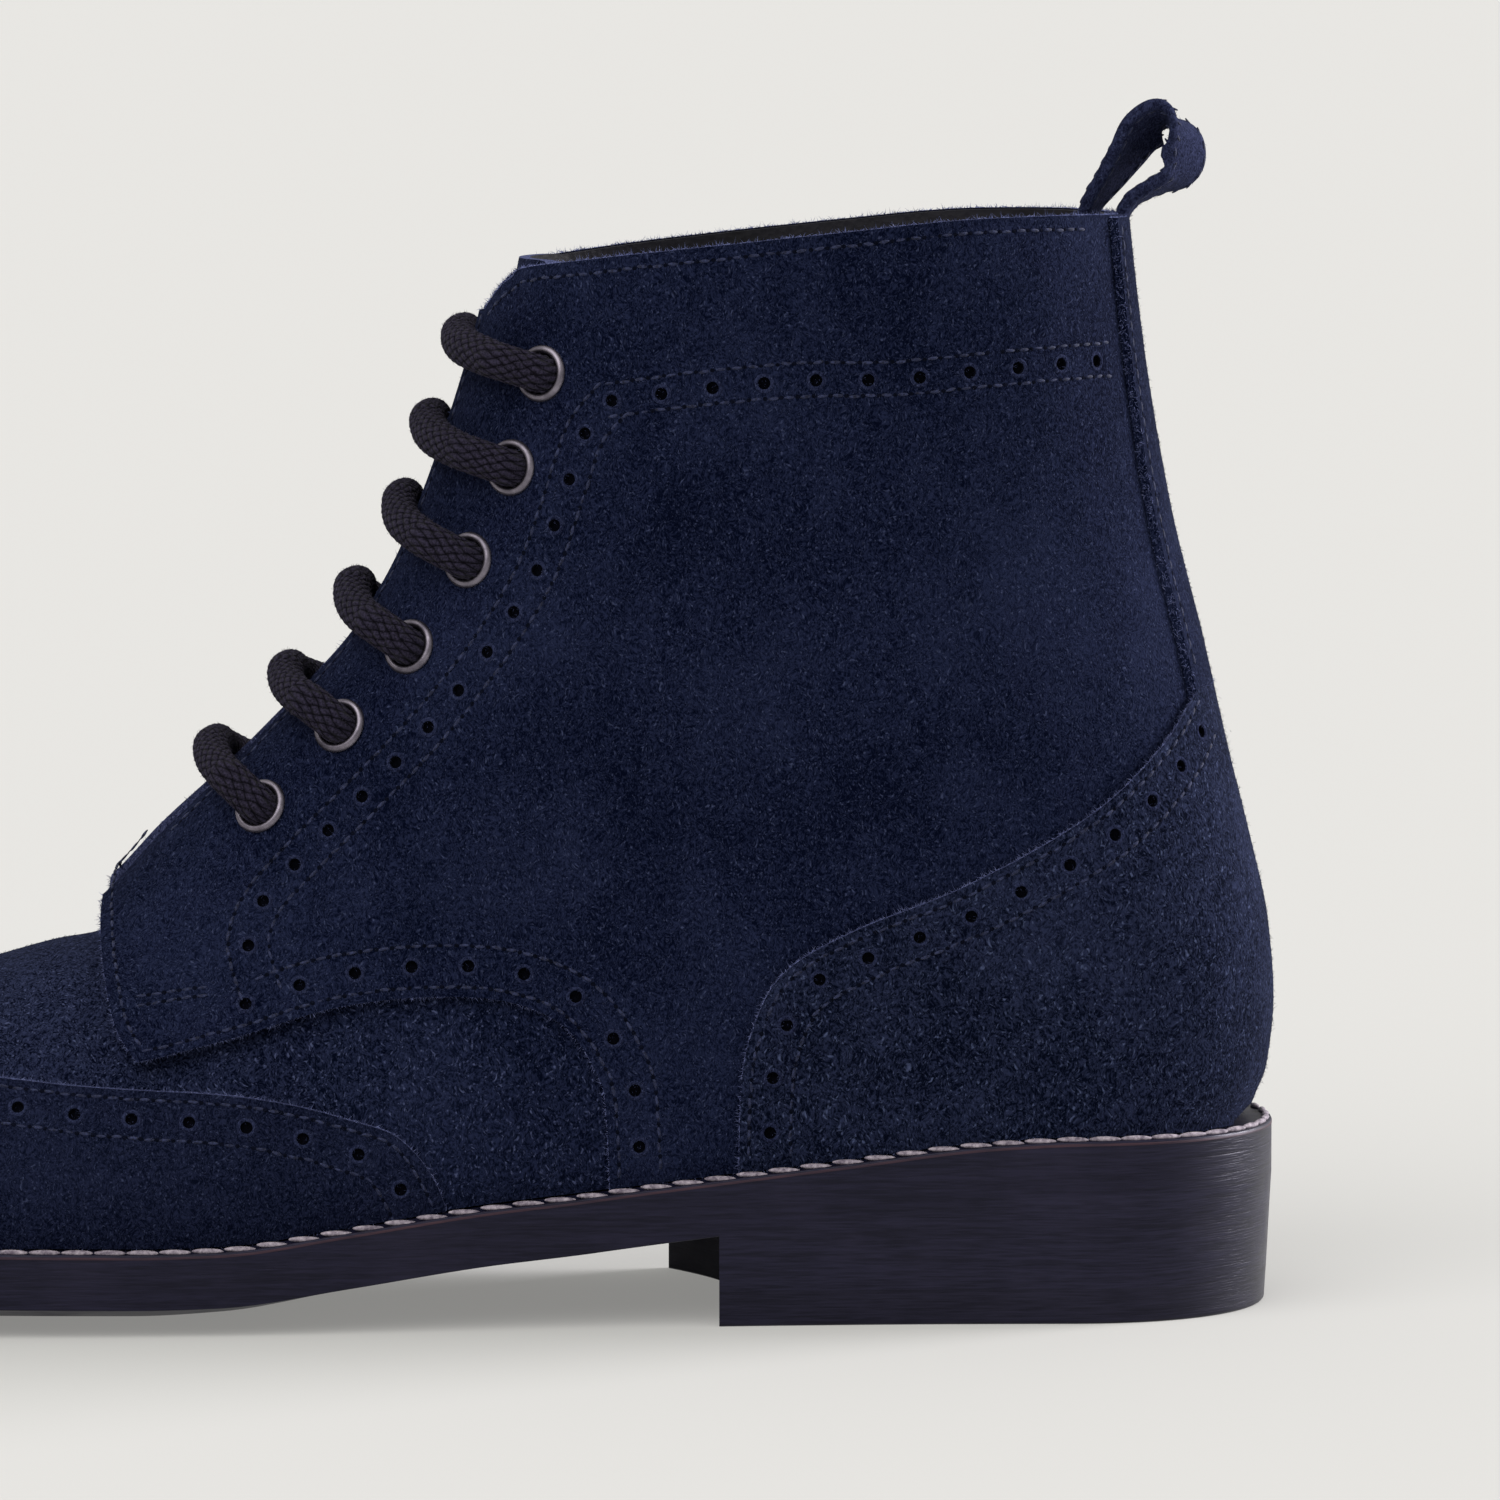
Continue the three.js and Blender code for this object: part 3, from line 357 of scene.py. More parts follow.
def half_width(x, height, share, section, side, grow):
    up = smooth(0, 0.3, height / COLLAR_HEIGHT) * smooth(0.38, 0.58, share_at(x))
    shaft = (SHAFT_WIDTH / 2) * shaft_share(height / COLLAR_HEIGHT) + grow
    flat = plan_half(x, side, grow) * (1 - up) + shaft * up
    blend = smooth(0.07, 0.67, height / COLLAR_HEIGHT)
    heel_round = HEEL_ROUND * (1 - blend) + SHAFT_ROUND * blend
    toe = rounding(x - (TOE - grow), TOE_ROUND + grow, 2.25)
    heel = rounding(heel_curve(height) + grow - x, heel_round + grow, 2.15)
    start, power = round_share(section), round_power(section)
    top = rounding((1 - share) / np.maximum(1 - start, 1e-6), 1, power)
    quiet = smooth(2, 12, height) * (1 - smooth(0.92, 1.0, height / COLLAR_HEIGHT))
    return np.maximum((flat + relief(x, height) * quiet) * toe * heel * top, LEAST_HALF)


def skin_points(section, share, side, skin):
    """Points of a skin in millimetres, as an array that ends in x, y, z."""
    end_x, end_h, ridge_x, ridge_h = chord(section, skin)
    x = end_x + (ridge_x - end_x) * share
    height = end_h + (ridge_h - end_h) * share
    half = half_width(x, height, share, section, side, skin["grow"])
    return np.stack([x, swing(x) + side * half, welt_top(x) + height], -1)


print("skins grow by", LINING["grow"], VAMP["grow"], QUARTER["grow"], "mm")


# %% Find a place on the last
def locate(x, height, skin):
    """The section and share where places seen from the side lie on a skin."""
    x, height = np.broadcast_arrays(np.asarray(x, float), np.asarray(height, float))
    low, high = np.zeros(x.shape), np.full(x.shape, float(LAST_SECTION))
    for _ in range(36):
        middle = (low + high) / 2
        end_x, end_h, ridge_x, ridge_h = chord(middle, skin)
        cross = (ridge_x - end_x) * (height - end_h) - (ridge_h - end_h) * (x - end_x)
        low, high = np.where(cross > 0, middle, low), np.where(cross > 0, high, middle)
    end_x, end_h, ridge_x, ridge_h = chord(low, skin)
    along, up = ridge_x - end_x, ridge_h - end_h
    share = ((x - end_x) * along + (height - end_h) * up) / (along**2 + up**2)
    return low, np.clip(share, 0, 1)


rim_x = np.linspace(TOE - SOLE_MARGIN, float(heel_curve(0.0)) + SOLE_MARGIN, 201)
outer_rim = (swing(rim_x) - feather_half(rim_x, -1, SOLE_MARGIN)).min()
inner_rim = (swing(rim_x) + feather_half(rim_x, 1, SOLE_MARGIN)).max()
PLACE = np.array([-(rim_x[0] + rim_x[-1]) / 2, -(outer_rim + inner_rim) / 2, 0])

# %% [markdown]
# Camera, floor and light
#
# The photograph was taken from the outer side with a long lens, a little above the boot, and its
# frame cuts the toe off. A long lens is made by standing 1.5 m away with a narrow view. Dark
# suede shows its form only when the light has a direction, so the dome is bright overhead and
# dimmer at the sides, with one wide soft lamp in front and a second behind the heel that draws
# the gloss on the heel's back. Suns are used for both, because they light a floor evenly.

# %% Camera and studio
TARGET = np.array([62.85, 0, 90])
CAMERA_DISTANCE = 1500
CAMERA_ELEVATION = math.radians(5)
LENS = 219.6


def in_frame(point):
    return Vector((np.asarray(point, float) + PLACE) * MM)


def rgb(red, green, blue):
    """A colour given as it looks on screen, turned into light."""
    parts = [value / 255 for value in (red, green, blue)]
    return tuple([p / 12.92 if p < 0.04045 else ((p + 0.055) / 1.055) ** 2.4 for p in parts] + [1])


camera_data = bpy.data.cameras.new("camera")
camera_data.lens = LENS
camera_data.sensor_width = 36
camera_data.clip_end = 300
camera = bpy.data.objects.new("camera", camera_data)
bpy.context.scene.collection.objects.link(camera)
away = np.array([0, -math.cos(CAMERA_ELEVATION), math.sin(CAMERA_ELEVATION)])
camera.location = in_frame(TARGET + CAMERA_DISTANCE * away)
camera.rotation_euler = (math.pi / 2 - CAMERA_ELEVATION, 0, 0)
bpy.context.scene.camera = camera
bpy.context.scene.view_settings.view_transform = "Standard"


def sun(name, towards, power, spread, colour):
    data = bpy.data.lights.new(name, "SUN")
    data.energy = power
    data.angle = math.radians(spread)
    data.color = colour
    thing = bpy.data.objects.new(name, data)
    bpy.context.scene.collection.objects.link(thing)
    thing.rotation_euler = Vector(towards).to_track_quat("Z", "Y").to_euler()


sun("key_light", (-0.6, -0.95, 1.15), 1.45, 55, (1, 0.985, 0.975))
sun("heel_light", (1.0, 0.4, 0.38), 4.4, 30, (1, 0.97, 1))

print("lights:", len(bpy.data.lights))

# %% Surround
PAPER = rgb(232, 231, 227)
world = bpy.data.worlds.new("studio")
bpy.context.scene.world = world
world.use_nodes = True
world_nodes = world.node_tree.nodes
world_links = world.node_tree.links
surround = world_nodes["Background"]
direction = world_nodes.new("ShaderNodeTexCoord")
height_part = world_nodes.new("ShaderNodeSeparateXYZ")
dome = world_nodes.new("ShaderNodeMapRange")
seen = world_nodes.new("ShaderNodeLightPath")
strength = world_nodes.new("ShaderNodeMix")
dome.inputs["From Min"].default_value = -0.1
dome.inputs["From Max"].default_value = 0.9
dome.inputs["To Min"].default_value = 0.4
dome.inputs["To Max"].default_value = 0.9
strength.inputs["B"].default_value = 1.0
world_links.new(direction.outputs["Generated"], height_part.inputs[0])
world_links.new(height_part.outputs["Z"], dome.inputs["Value"])
world_links.new(seen.outputs["Is Camera Ray"], strength.inputs["Factor"])
world_links.new(dome.outputs["Result"], strength.inputs["A"])
world_links.new(strength.outputs["Result"], surround.inputs["Strength"])
surround.inputs["Color"].default_value = PAPER
print("camera at", [round(v, 3) for v in camera.location])

# %% [markdown]
# Shaders that more than one material shares
#
# Suede, thread, lace and dyed leather edges all need the same few effects: a fine broken grain, a
# slow change of tone, and streaks along one direction. Each is a node group with named inputs, so
# a material is a short list of values, and a change to the group reaches all of them.

# %% Node helpers
# The helper class keeps each later node on one line: what it is, then what goes into it.
FLOAT, COLOUR = "NodeSocketFloat", "NodeSocketColor"


class Nodes:
    """A thin helper: adds a node, sets its inputs, and links what is a socket."""

    def __init__(self, tree):
        self.tree = tree

    def add(self, kind, inputs=None, **settings):
        node = self.tree.nodes.new(kind)
        for name, value in settings.items():
            setattr(node, name, value)
        for name, value in (inputs or {}).items():
            if isinstance(value, bpy.types.NodeSocket):
                self.tree.links.new(value, node.inputs[name])
            else:
                node.inputs[name].default_value = value
        return node

    def math(self, operation, first, second=0.0):
        return self.add("ShaderNodeMath", {0: first, 1: second}, operation=operation).outputs[0]

    def mix(self, factor, first, second, blend="MIX"):
        node = self.add("ShaderNodeMix", data_type="RGBA", blend_type=blend)
        for name, value in (("Factor_Float", factor), ("A_Color", first), ("B_Color", second)):
            socket = next(s for s in node.inputs if s.identifier == name)
            if isinstance(value, bpy.types.NodeSocket):
                self.tree.links.new(value, socket)
            else:
                socket.default_value = value
        return next(s for s in node.outputs if s.identifier == "Result_Color")

    def ramp(self, value, low, high):
        names = {"Value": value, "From Min": low, "From Max": high}
        return self.add("ShaderNodeMapRange", names, clamp=True).outputs["Result"]

    def noise(self, vector, scale, detail=2.0, roughness=0.5):
        inputs = {"Vector": vector, "Scale": scale, "Detail": detail, "Roughness": roughness}
        return self.add("ShaderNodeTexNoise", inputs).outputs["Fac"]


def new_group(name, inputs, outputs):
    tree = bpy.data.node_groups.new(name, "ShaderNodeTree")
    for label, kind, value in inputs:
        socket = tree.interface.new_socket(label, in_out="INPUT", socket_type=kind)
        if value is not None:
            socket.default_value = value
    for label, kind in outputs:
        tree.interface.new_socket(label, in_out="OUTPUT", socket_type=kind)
    nodes = Nodes(tree)
    return tree, nodes, nodes.add("NodeGroupInput").outputs, nodes.add("NodeGroupOutput").inputs


print("sockets in use:", FLOAT, COLOUR)

# %% The nap group
# Suede nap is short fibre that lies in brushed patches: dark where it faces away, paler where it
# stands up, with single fibres that catch the light. Faces that look upward also get a painted
# highlight on the nap, for the light that falls from above.
nap_group, nodes, given, result = new_group(
    "nap",
    [("Dark", COLOUR, None), ("Light", COLOUR, None), ("Fleck", COLOUR, None),
     ("Fibre Size", FLOAT, 1.0), ("Fleck Amount", FLOAT, 0.5), ("Patch Amount", FLOAT, 0.5),
     ("Top Light", FLOAT, 0.1)],
    [("Color", COLOUR), ("Height", FLOAT)],
)
place = nodes.add("ShaderNodeTexCoord").outputs["Object"]
warp = nodes.add("ShaderNodeTexNoise", {"Vector": place, "Scale": 260.0, "Detail": 2.0}).outputs["Color"]
bent = nodes.add("ShaderNodeVectorMath", {0: warp, 1: (0.003, 0.003, 0.003)}, operation="MULTIPLY").outputs[0]
warped = nodes.add("ShaderNodeVectorMath", {0: place, 1: bent}, operation="ADD").outputs[0]
lying = nodes.add("ShaderNodeMapping", {"Vector": warped, "Rotation": (0.3, 0.7, 0), "Scale": (1, 1, 0.62)})
fibre_scale = nodes.math("DIVIDE", 3900.0, given["Fibre Size"])
fibres = nodes.noise(lying.outputs[0], fibre_scale, 2.0, 0.6)
clumps = nodes.noise(warped, nodes.math("DIVIDE", 1250.0, given["Fibre Size"]), 2.0, 0.55)
patches = nodes.noise(place, 30.0, 4.0, 0.55)
stroked = nodes.noise(lying.outputs[0], 150.0, 2.0, 0.5)
grain = nodes.ramp(nodes.math("ADD", fibres, nodes.math("MULTIPLY", clumps, 0.55)), 0.64, 0.96)
slow = nodes.math("ADD", patches, nodes.math("MULTIPLY", stroked, 0.4))
tone = nodes.math("MULTIPLY", nodes.math("SUBTRACT", slow, 0.7), given["Patch Amount"])
base = nodes.mix(nodes.math("ADD", grain, nodes.math("MULTIPLY", tone, 1.5)), given["Dark"], given["Light"])
fleck_scale = nodes.math("DIVIDE", 2700.0, given["Fibre Size"])
speck = nodes.ramp(nodes.noise(lying.outputs[0], fleck_scale, 1.0), 0.62, 0.78)
flecked = nodes.mix(nodes.math("MULTIPLY", speck, given["Fleck Amount"]), base, given["Fleck"])
# Painted highlight: faces that look upward are mixed towards the fleck colour where the grain is pale, for
# the light from above.
facing_way = nodes.add("ShaderNodeNewGeometry").outputs["Normal"]
upward = nodes.add("ShaderNodeSeparateXYZ", {0: facing_way}).outputs["Z"]
painted_highlight_mask = nodes.math("MULTIPLY", nodes.ramp(upward, 0.15, 0.85), grain)
painted_highlight_amount = nodes.math("MULTIPLY", painted_highlight_mask, given["Top Light"])
nodes.tree.links.new(nodes.mix(painted_highlight_amount, flecked, given["Fleck"]), result["Color"])
nodes.tree.links.new(nodes.math("ADD", fibres, nodes.math("MULTIPLY", clumps, 0.8)), result["Height"])
print("group:", nap_group.name)

# %% The streak group
# The edge of a sole is leather cut on end, dyed and rubbed with wax: fine level streaks, and wear
# that lets a paler tone through.
streak_group, nodes, given, result = new_group(
    "streaks",
    [("Dark", COLOUR, None), ("Light", COLOUR, None), ("Worn", COLOUR, None),
     ("Streak Amount", FLOAT, 1.0), ("Wear", FLOAT, 0.3)],
    [("Color", COLOUR), ("Height", FLOAT), ("Gloss", FLOAT)],
)
place = nodes.add("ShaderNodeTexCoord").outputs["Object"]
level = nodes.add("ShaderNodeMapping", {"Vector": place, "Scale": (1, 1, 26)}).outputs[0]
layers = nodes.noise(level, 42.0, 4.0, 0.6)
finer = nodes.add("ShaderNodeMapping", {"Vector": place, "Scale": (1, 1, 18)}).outputs[0]
hairs = nodes.noise(finer, 190.0, 2.0)
both_streaks = nodes.math("ADD", nodes.math("MULTIPLY", layers, 0.5), nodes.math("MULTIPLY", hairs, 0.5))
shade = nodes.math("MULTIPLY", nodes.ramp(both_streaks, 0.4, 0.61), given["Streak Amount"])
rubbed = nodes.ramp(nodes.noise(place, 55.0, 4.0, 0.65), 0.5, 0.78)
mixed = nodes.mix(shade, given["Dark"], given["Light"])
worn = nodes.mix(nodes.math("MULTIPLY", rubbed, given["Wear"]), mixed, given["Worn"])
nodes.tree.links.new(worn, result["Color"])
nodes.tree.links.new(both_streaks, result["Height"])
nodes.tree.links.new(rubbed, result["Gloss"])
print("group:", streak_group.name)


# %% A blank material
def new_material(name):
    material = bpy.data.materials.new(name)
    material.use_nodes = True
    material.node_tree.nodes.clear()
    nodes = Nodes(material.node_tree)
    surface = nodes.add("ShaderNodeBsdfPrincipled")
    out = nodes.add("ShaderNodeOutputMaterial")
    material.node_tree.links.new(surface.outputs["BSDF"], out.inputs["Surface"])
    return material, nodes, surface


def connect(nodes, surface, colour=None, height=None, roughness=None, bump=0.0, distance=0.0005):
    links = nodes.tree.links
    if colour is not None:
        links.new(colour, surface.inputs["Base Color"])
    if roughness is not None:
        links.new(roughness, surface.inputs["Roughness"])
    if height is not None:
        inputs = {"Height": height, "Strength": bump, "Distance": distance}
        links.new(nodes.add("ShaderNodeBump", inputs).outputs["Normal"], surface.inputs["Normal"])


print("node groups:", len(bpy.data.node_groups))


# %% [markdown]
# Suede
#
# The upper is split leather, brushed until it has a nap. It takes a deep navy and gives almost no
# gloss. A photograph of suede could be wrapped round the last, but it would stretch over the toe;
# fibre drawn from the object's own coordinates keeps its size on every panel. The panels differ in
# fibre and fleck, because the vamp and the counter are the coarser part of the hide.

# %% Suedes
def suede(name, dark, light, fleck, fibre=1.0, flecks=0.5, patches=0.5, bump=0.8, painted_top_highlight=0.04):
    material, nodes, surface = new_material(name)
    nap = nodes.add("ShaderNodeGroup", node_tree=nap_group)
    for label, value in (("Dark", dark), ("Light", light), ("Fleck", fleck), ("Fibre Size", fibre),
                         ("Fleck Amount", flecks), ("Patch Amount", patches), ("Top Light", painted_top_highlight)):
        nap.inputs[label].default_value = value
    connect(nodes, surface, nap.outputs["Color"], nap.outputs["Height"], None, bump, 0.0002)
    surface.inputs["Roughness"].default_value = 1.0
    surface.inputs["Specular IOR Level"].default_value = 0.04
    surface.inputs["Sheen Weight"].default_value = 0.05
    surface.inputs["Sheen Roughness"].default_value = 0.4
    surface.inputs["Sheen Tint"].default_value = rgb(140, 150, 205)
    return material


NAVY_DARK, NAVY_LIGHT, NAVY_FLECK = rgb(2, 6, 25), rgb(31, 37, 62), rgb(76, 84, 116)
quarter_suede = suede("quarter_suede", NAVY_DARK, NAVY_LIGHT, NAVY_FLECK, 1.0, 0.5, 0.8)
# The vamp gets the strongest painted top highlight, and its slightly darker base is partly painted shade for
# its sides.
vamp_suede = suede("vamp_suede", rgb(1, 5, 22), rgb(31, 37, 62), rgb(88, 96, 132), 1.25, 0.6, 0.6, 1.0, 0.16)
cap_suede = suede("cap_suede", rgb(3, 7, 24), rgb(29, 34, 57), NAVY_FLECK, 1.0, 0.4, 0.7)
counter_suede = suede("counter_suede", rgb(2, 6, 22), rgb(38, 44, 69), rgb(84, 94, 128), 1.3, 0.65, 0.8, 1.0)
# Cut edges are paler than the nap: partly the suede's own cut fibre, partly a painted highlight for the light
# from above on the top edges.
cut_edge_painted_highlight = suede("cut_suede_edge", rgb(34, 39, 66), rgb(80, 86, 122), rgb(130, 136, 176), 0.8, 0.7, 0.4, 0.5)
flesh_side = suede("flesh_side", rgb(14, 15, 24), rgb(28, 30, 44), rgb(50, 54, 74), 1.3, 0.3, 0.5)
# The inside of each punched hole is painted near-black: painted shade for the hole's depth.
hole_painted_shade = suede("punched_hole", rgb(4, 5, 11), rgb(10, 11, 21), rgb(18, 20, 34), 1.0, 0.3, 0.3)
rim_suede = suede("punched_rim", rgb(16, 20, 40), rgb(46, 52, 80), rgb(84, 92, 124), 0.8, 0.5, 0.4)
# Needle marks are near-black: painted shade for the needle holes.
needle_painted_shade = suede("needle_mark", rgb(4, 6, 15), rgb(12, 15, 30), rgb(24, 28, 48), 0.8, 0.3, 0.4)
loop_suede = suede("loop_suede", rgb(16, 19, 38), rgb(48, 53, 82), NAVY_FLECK, 0.9, 0.5, 0.5)
loose_nap = suede("loose_nap", rgb(26, 30, 50), rgb(62, 68, 98), rgb(96, 104, 138), 2.0, 0.6, 0.5, 0.2)
# The edge fringe is pale: partly its own cut fibre, partly a painted highlight for the light catching the
# edges.
edge_nap = suede("edge_nap", rgb(62, 68, 102), rgb(112, 120, 164), rgb(160, 166, 204), 2.0, 0.6, 0.5, 0.2)


print("suedes:", len(bpy.data.materials))


# %% [markdown]
# Lining and sole leather
#
# The lining is smooth dark leather, and the sole, welt and heel are leather on edge, dyed and
# waxed. Both could be one plain colour with a low gloss, but an edge that was cut through layers
# shows level streaks and dull worn places, and those are what tell the eye it is a stacked heel.

# %% Leathers
def plain_leather(name, dark, light, roughness, scale, bump):
    material, nodes, surface = new_material(name)
    place = nodes.add("ShaderNodeTexCoord").outputs["Object"]
    grain = nodes.add("ShaderNodeTexVoronoi", {"Vector": place, "Scale": scale}).outputs["Distance"]
    tone = nodes.noise(place, 60.0, 4.0)
    connect(nodes, surface, nodes.mix(nodes.ramp(tone, 0.35, 0.7), dark, light), grain, None, bump, 0.0003)
    surface.inputs["Roughness"].default_value = roughness
    surface.inputs["Specular IOR Level"].default_value = 0.3
    return material


lining_leather = plain_leather("lining_leather", rgb(16, 15, 22), rgb(30, 29, 38), 0.62, 900.0, 0.25)


def edge_leather(name, dark, light, worn, amount, wear, roughness):
    material, nodes, surface = new_material(name)
    streaks = nodes.add("ShaderNodeGroup", node_tree=streak_group)
    for label, value in (("Dark", dark), ("Light", light), ("Worn", worn),
                         ("Streak Amount", amount), ("Wear", wear)):
        streaks.inputs[label].default_value = value
    dull = nodes.math("ADD", nodes.math("MULTIPLY", streaks.outputs["Gloss"], 0.2), roughness)
    connect(nodes, surface, streaks.outputs["Color"], streaks.outputs["Height"], dull, 0.5, 0.0003)
    surface.inputs["Specular IOR Level"].default_value = 0.27
    surface.inputs["Specular Tint"].default_value = (0.78, 0.76, 1, 1)
    return material


sole_edge = edge_leather("sole_edge", rgb(8, 8, 22), rgb(26, 25, 43), rgb(38, 35, 54), 0.9, 0.35, 0.38)
heel_edge = edge_leather("heel_edge", rgb(9, 9, 23), rgb(28, 27, 45), rgb(42, 39, 58), 1.0, 0.4, 0.36)
welt_leather = edge_leather("welt_leather", rgb(8, 8, 22), rgb(26, 25, 43), rgb(40, 37, 55), 0.9, 0.4, 0.38)
welt_top_leather = edge_leather("welt_top", rgb(4, 4, 10), rgb(13, 13, 22), rgb(20, 19, 30), 0.6, 0.3, 0.8)
top_rubber = edge_leather("top_rubber", rgb(8, 8, 21), rgb(27, 26, 42), rgb(38, 36, 52), 0.9, 0.35, 0.38)
red_line = edge_leather("welt_line", rgb(42, 30, 38), rgb(66, 44, 50), rgb(86, 60, 64), 0.6, 0.4, 0.5)


print("with leathers:", len(bpy.data.materials))


# %% [markdown]
# Thread and lace
#
# Seam thread is dark and fine, welt thread is thick and pale, and the lace is a matt cotton braid.
# The lace's plait could come from relief alone, which would take far more faces than it is worth.
# Here the tube carries the large strands and the shader draws the same plait along the lace's
# own run, with painted shade in the grooves, so that each strand keeps its edge.

# %% Threads
def thread(name, dark, light, ply_scale, roughness=0.8, sheen=0.1):
    """Thread: twisted plies, a fine noise of hairs and a soft sheen."""
    material, nodes, surface = new_material(name)
    place = nodes.add("ShaderNodeTexCoord").outputs["Object"]
    hairs = nodes.noise(place, ply_scale, 3.0, 0.6)
    colour = nodes.mix(nodes.ramp(hairs, 0.35, 0.68), dark, light)
    connect(nodes, surface, colour, hairs, None, 0.6, 0.0001)
    surface.inputs["Roughness"].default_value = roughness
    surface.inputs["Specular IOR Level"].default_value = 0.2
    surface.inputs["Sheen Weight"].default_value = sheen
    return material


navy_thread = thread("navy_thread", rgb(14, 18, 38), rgb(50, 57, 90), 1900.0)
welt_thread = thread("welt_thread", rgb(98, 89, 102), rgb(176, 166, 176), 1100.0, 0.7)


def braid_cotton(name, dark, light):
    """Plaited strands drawn along the lace: over and under, with painted shade in the grooves."""
    material, nodes, surface = new_material(name)
    drawn = nodes.add("ShaderNodeUVMap", uv_map="along_lace").outputs["UV"]
    run = nodes.add("ShaderNodeSeparateXYZ", {0: drawn})
    around_it, along_it = run.outputs["X"], run.outputs["Y"]
    right = nodes.math("ADD", around_it, along_it)
    left = nodes.math("SUBTRACT", around_it, along_it)
    bulges = []
    for way in (right, left):
        swing_of = nodes.math("SUBTRACT", nodes.math("MULTIPLY", nodes.math("FRACT", way, 0.0), 2.0), 1.0)
        bulges.append(nodes.math("SUBTRACT", 1.0, nodes.math("MULTIPLY", swing_of, swing_of)))
    floors = nodes.math("ADD", nodes.math("FLOOR", right, 0.0), nodes.math("FLOOR", left, 0.0))
    over_it = nodes.math("ABSOLUTE", nodes.math("MODULO", floors, 2.0), 0.0)
    pair = [
        nodes.math("MULTIPLY", one, nodes.math("ADD", 0.55, nodes.math("MULTIPLY", other, 0.45)))
        for one, other in (bulges, bulges[::-1])
    ]
    chosen = nodes.math("MULTIPLY", pair[0], nodes.math("SUBTRACT", 1.0, over_it))
    height = nodes.math("ADD", chosen, nodes.math("MULTIPLY", pair[1], over_it))
    hairs = nodes.noise(nodes.add("ShaderNodeTexCoord").outputs["Object"], 3200.0, 3.0, 0.65)
    # The colour follows the strand height: painted shade deep in the grooves, paler on the crowns.
    tone = nodes.math("MULTIPLY", nodes.ramp(height, 0.12, 0.8), nodes.ramp(hairs, 0.3, 0.62))
    total = nodes.math("ADD", height, nodes.math("MULTIPLY", hairs, 0.35))
    connect(nodes, surface, nodes.mix(tone, dark, light), total, None, 0.9, 0.0004)
    surface.inputs["Roughness"].default_value = 1.0
    surface.inputs["Specular IOR Level"].default_value = 0.06
    surface.inputs["Sheen Weight"].default_value = 0.03
    return material


# The dark colour is the painted shade of the grooves, the light one the strands' own tone.
lace_cotton = braid_cotton("lace_cotton", rgb(5, 4, 11), rgb(54, 50, 68))
lace_hair = thread("lace_hair", rgb(36, 34, 48), rgb(70, 67, 84), 2100.0, 0.95, 0.06)


print("with threads:", len(bpy.data.materials))


# %% Nickel
def metal(name, dark, light, roughness):
    """Nickel that has dulled in patches, with fine turning marks."""
    material, nodes, surface = new_material(name)
    place = nodes.add("ShaderNodeTexCoord").outputs["Object"]
    tarnish = nodes.noise(place, 320.0, 4.0, 0.6)
    fine = nodes.noise(place, 2600.0, 2.0, 0.5)
    colour = nodes.mix(nodes.ramp(tarnish, 0.35, 0.7), light, dark)
    dull = nodes.math("ADD", nodes.math("MULTIPLY", tarnish, 0.25), roughness)
    connect(nodes, surface, colour, fine, dull, 0.12, 0.0001)
    surface.inputs["Metallic"].default_value = 1.0
    return material


nickel = metal("dark_nickel", rgb(84, 80, 90), rgb(138, 132, 143), 0.28)
print("materials so far:", len(bpy.data.materials))

# %% [markdown]
# Meshes and cuts
#
# A panel of leather is the space between two skins of the last, cut to a pattern piece. It could
# be laid out as a patch of quads, but its outline would then follow the grid. A boolean keeps the
# true outline: the cutter is a prism over the pattern, and the same cut gives the panel its
# thickness and a clean wall where the knife went. Each solid carries its own material index, so
# after the cut the faces still know whether they are nap, cut edge or flesh side.

# %% Mesh helpers
NAP, CUT, FLESH, PIT = 0, 1, 2, 3


def mesh_object(name, points, faces, index=NAP, materials=()):
    """An object from points in millimetres of the boot."""
    mesh = bpy.data.meshes.new(name)
    mesh.from_pydata(((np.asarray(points, float).reshape(-1, 3) + PLACE) * MM).tolist(), [], faces)
    mesh.polygons.foreach_set("material_index", np.full(len(mesh.polygons), index, np.int32))
    thing = bpy.data.objects.new(name, mesh)
    bpy.context.scene.collection.objects.link(thing)
    for material in materials:
        mesh.materials.append(material)
    return thing


def cleaned(thing, distance=1e-6):
    """Joins points that coincide and drops what collapses."""
    shape = bmesh.new()
    shape.from_mesh(thing.data)
    bmesh.ops.remove_doubles(shape, verts=shape.verts, dist=distance)
    bmesh.ops.dissolve_degenerate(shape, edges=shape.edges, dist=distance)
    shape.to_mesh(thing.data)
    shape.free()
    return thing


def discard(*things):
    for thing in things:
        bpy.data.objects.remove(thing)


def applied(thing):
    """Makes an object's modifiers part of its mesh."""
    seen = thing.evaluated_get(bpy.context.evaluated_depsgraph_get())
    mesh = bpy.data.meshes.new_from_object(seen)
    thing.modifiers.clear()
    thing.data = mesh
    return thing


def cut(thing, tool, operation):
    knife = thing.modifiers.new("knife", "BOOLEAN")
    knife.solver = "MANIFOLD"
    knife.operation = operation
    knife.object = tool
    return applied(thing)


def dressed(thing, *materials):
    """Puts the materials back in their slots, which the cuts leave in disorder."""
    slots = np.empty(len(thing.data.polygons), np.int32)
    thing.data.polygons.foreach_get("material_index", slots)
    thing.data.materials.clear()
    for material in materials:
        thing.data.materials.append(material)
    thing.data.polygons.foreach_set("material_index", np.minimum(slots, len(materials) - 1).astype(np.int32))


def crisp(thing, degrees=38):
    thing.data.polygons.foreach_set("use_smooth", np.ones(len(thing.data.polygons), bool))
    thing.data.set_sharp_from_angle(angle=math.radians(degrees))
    return thing


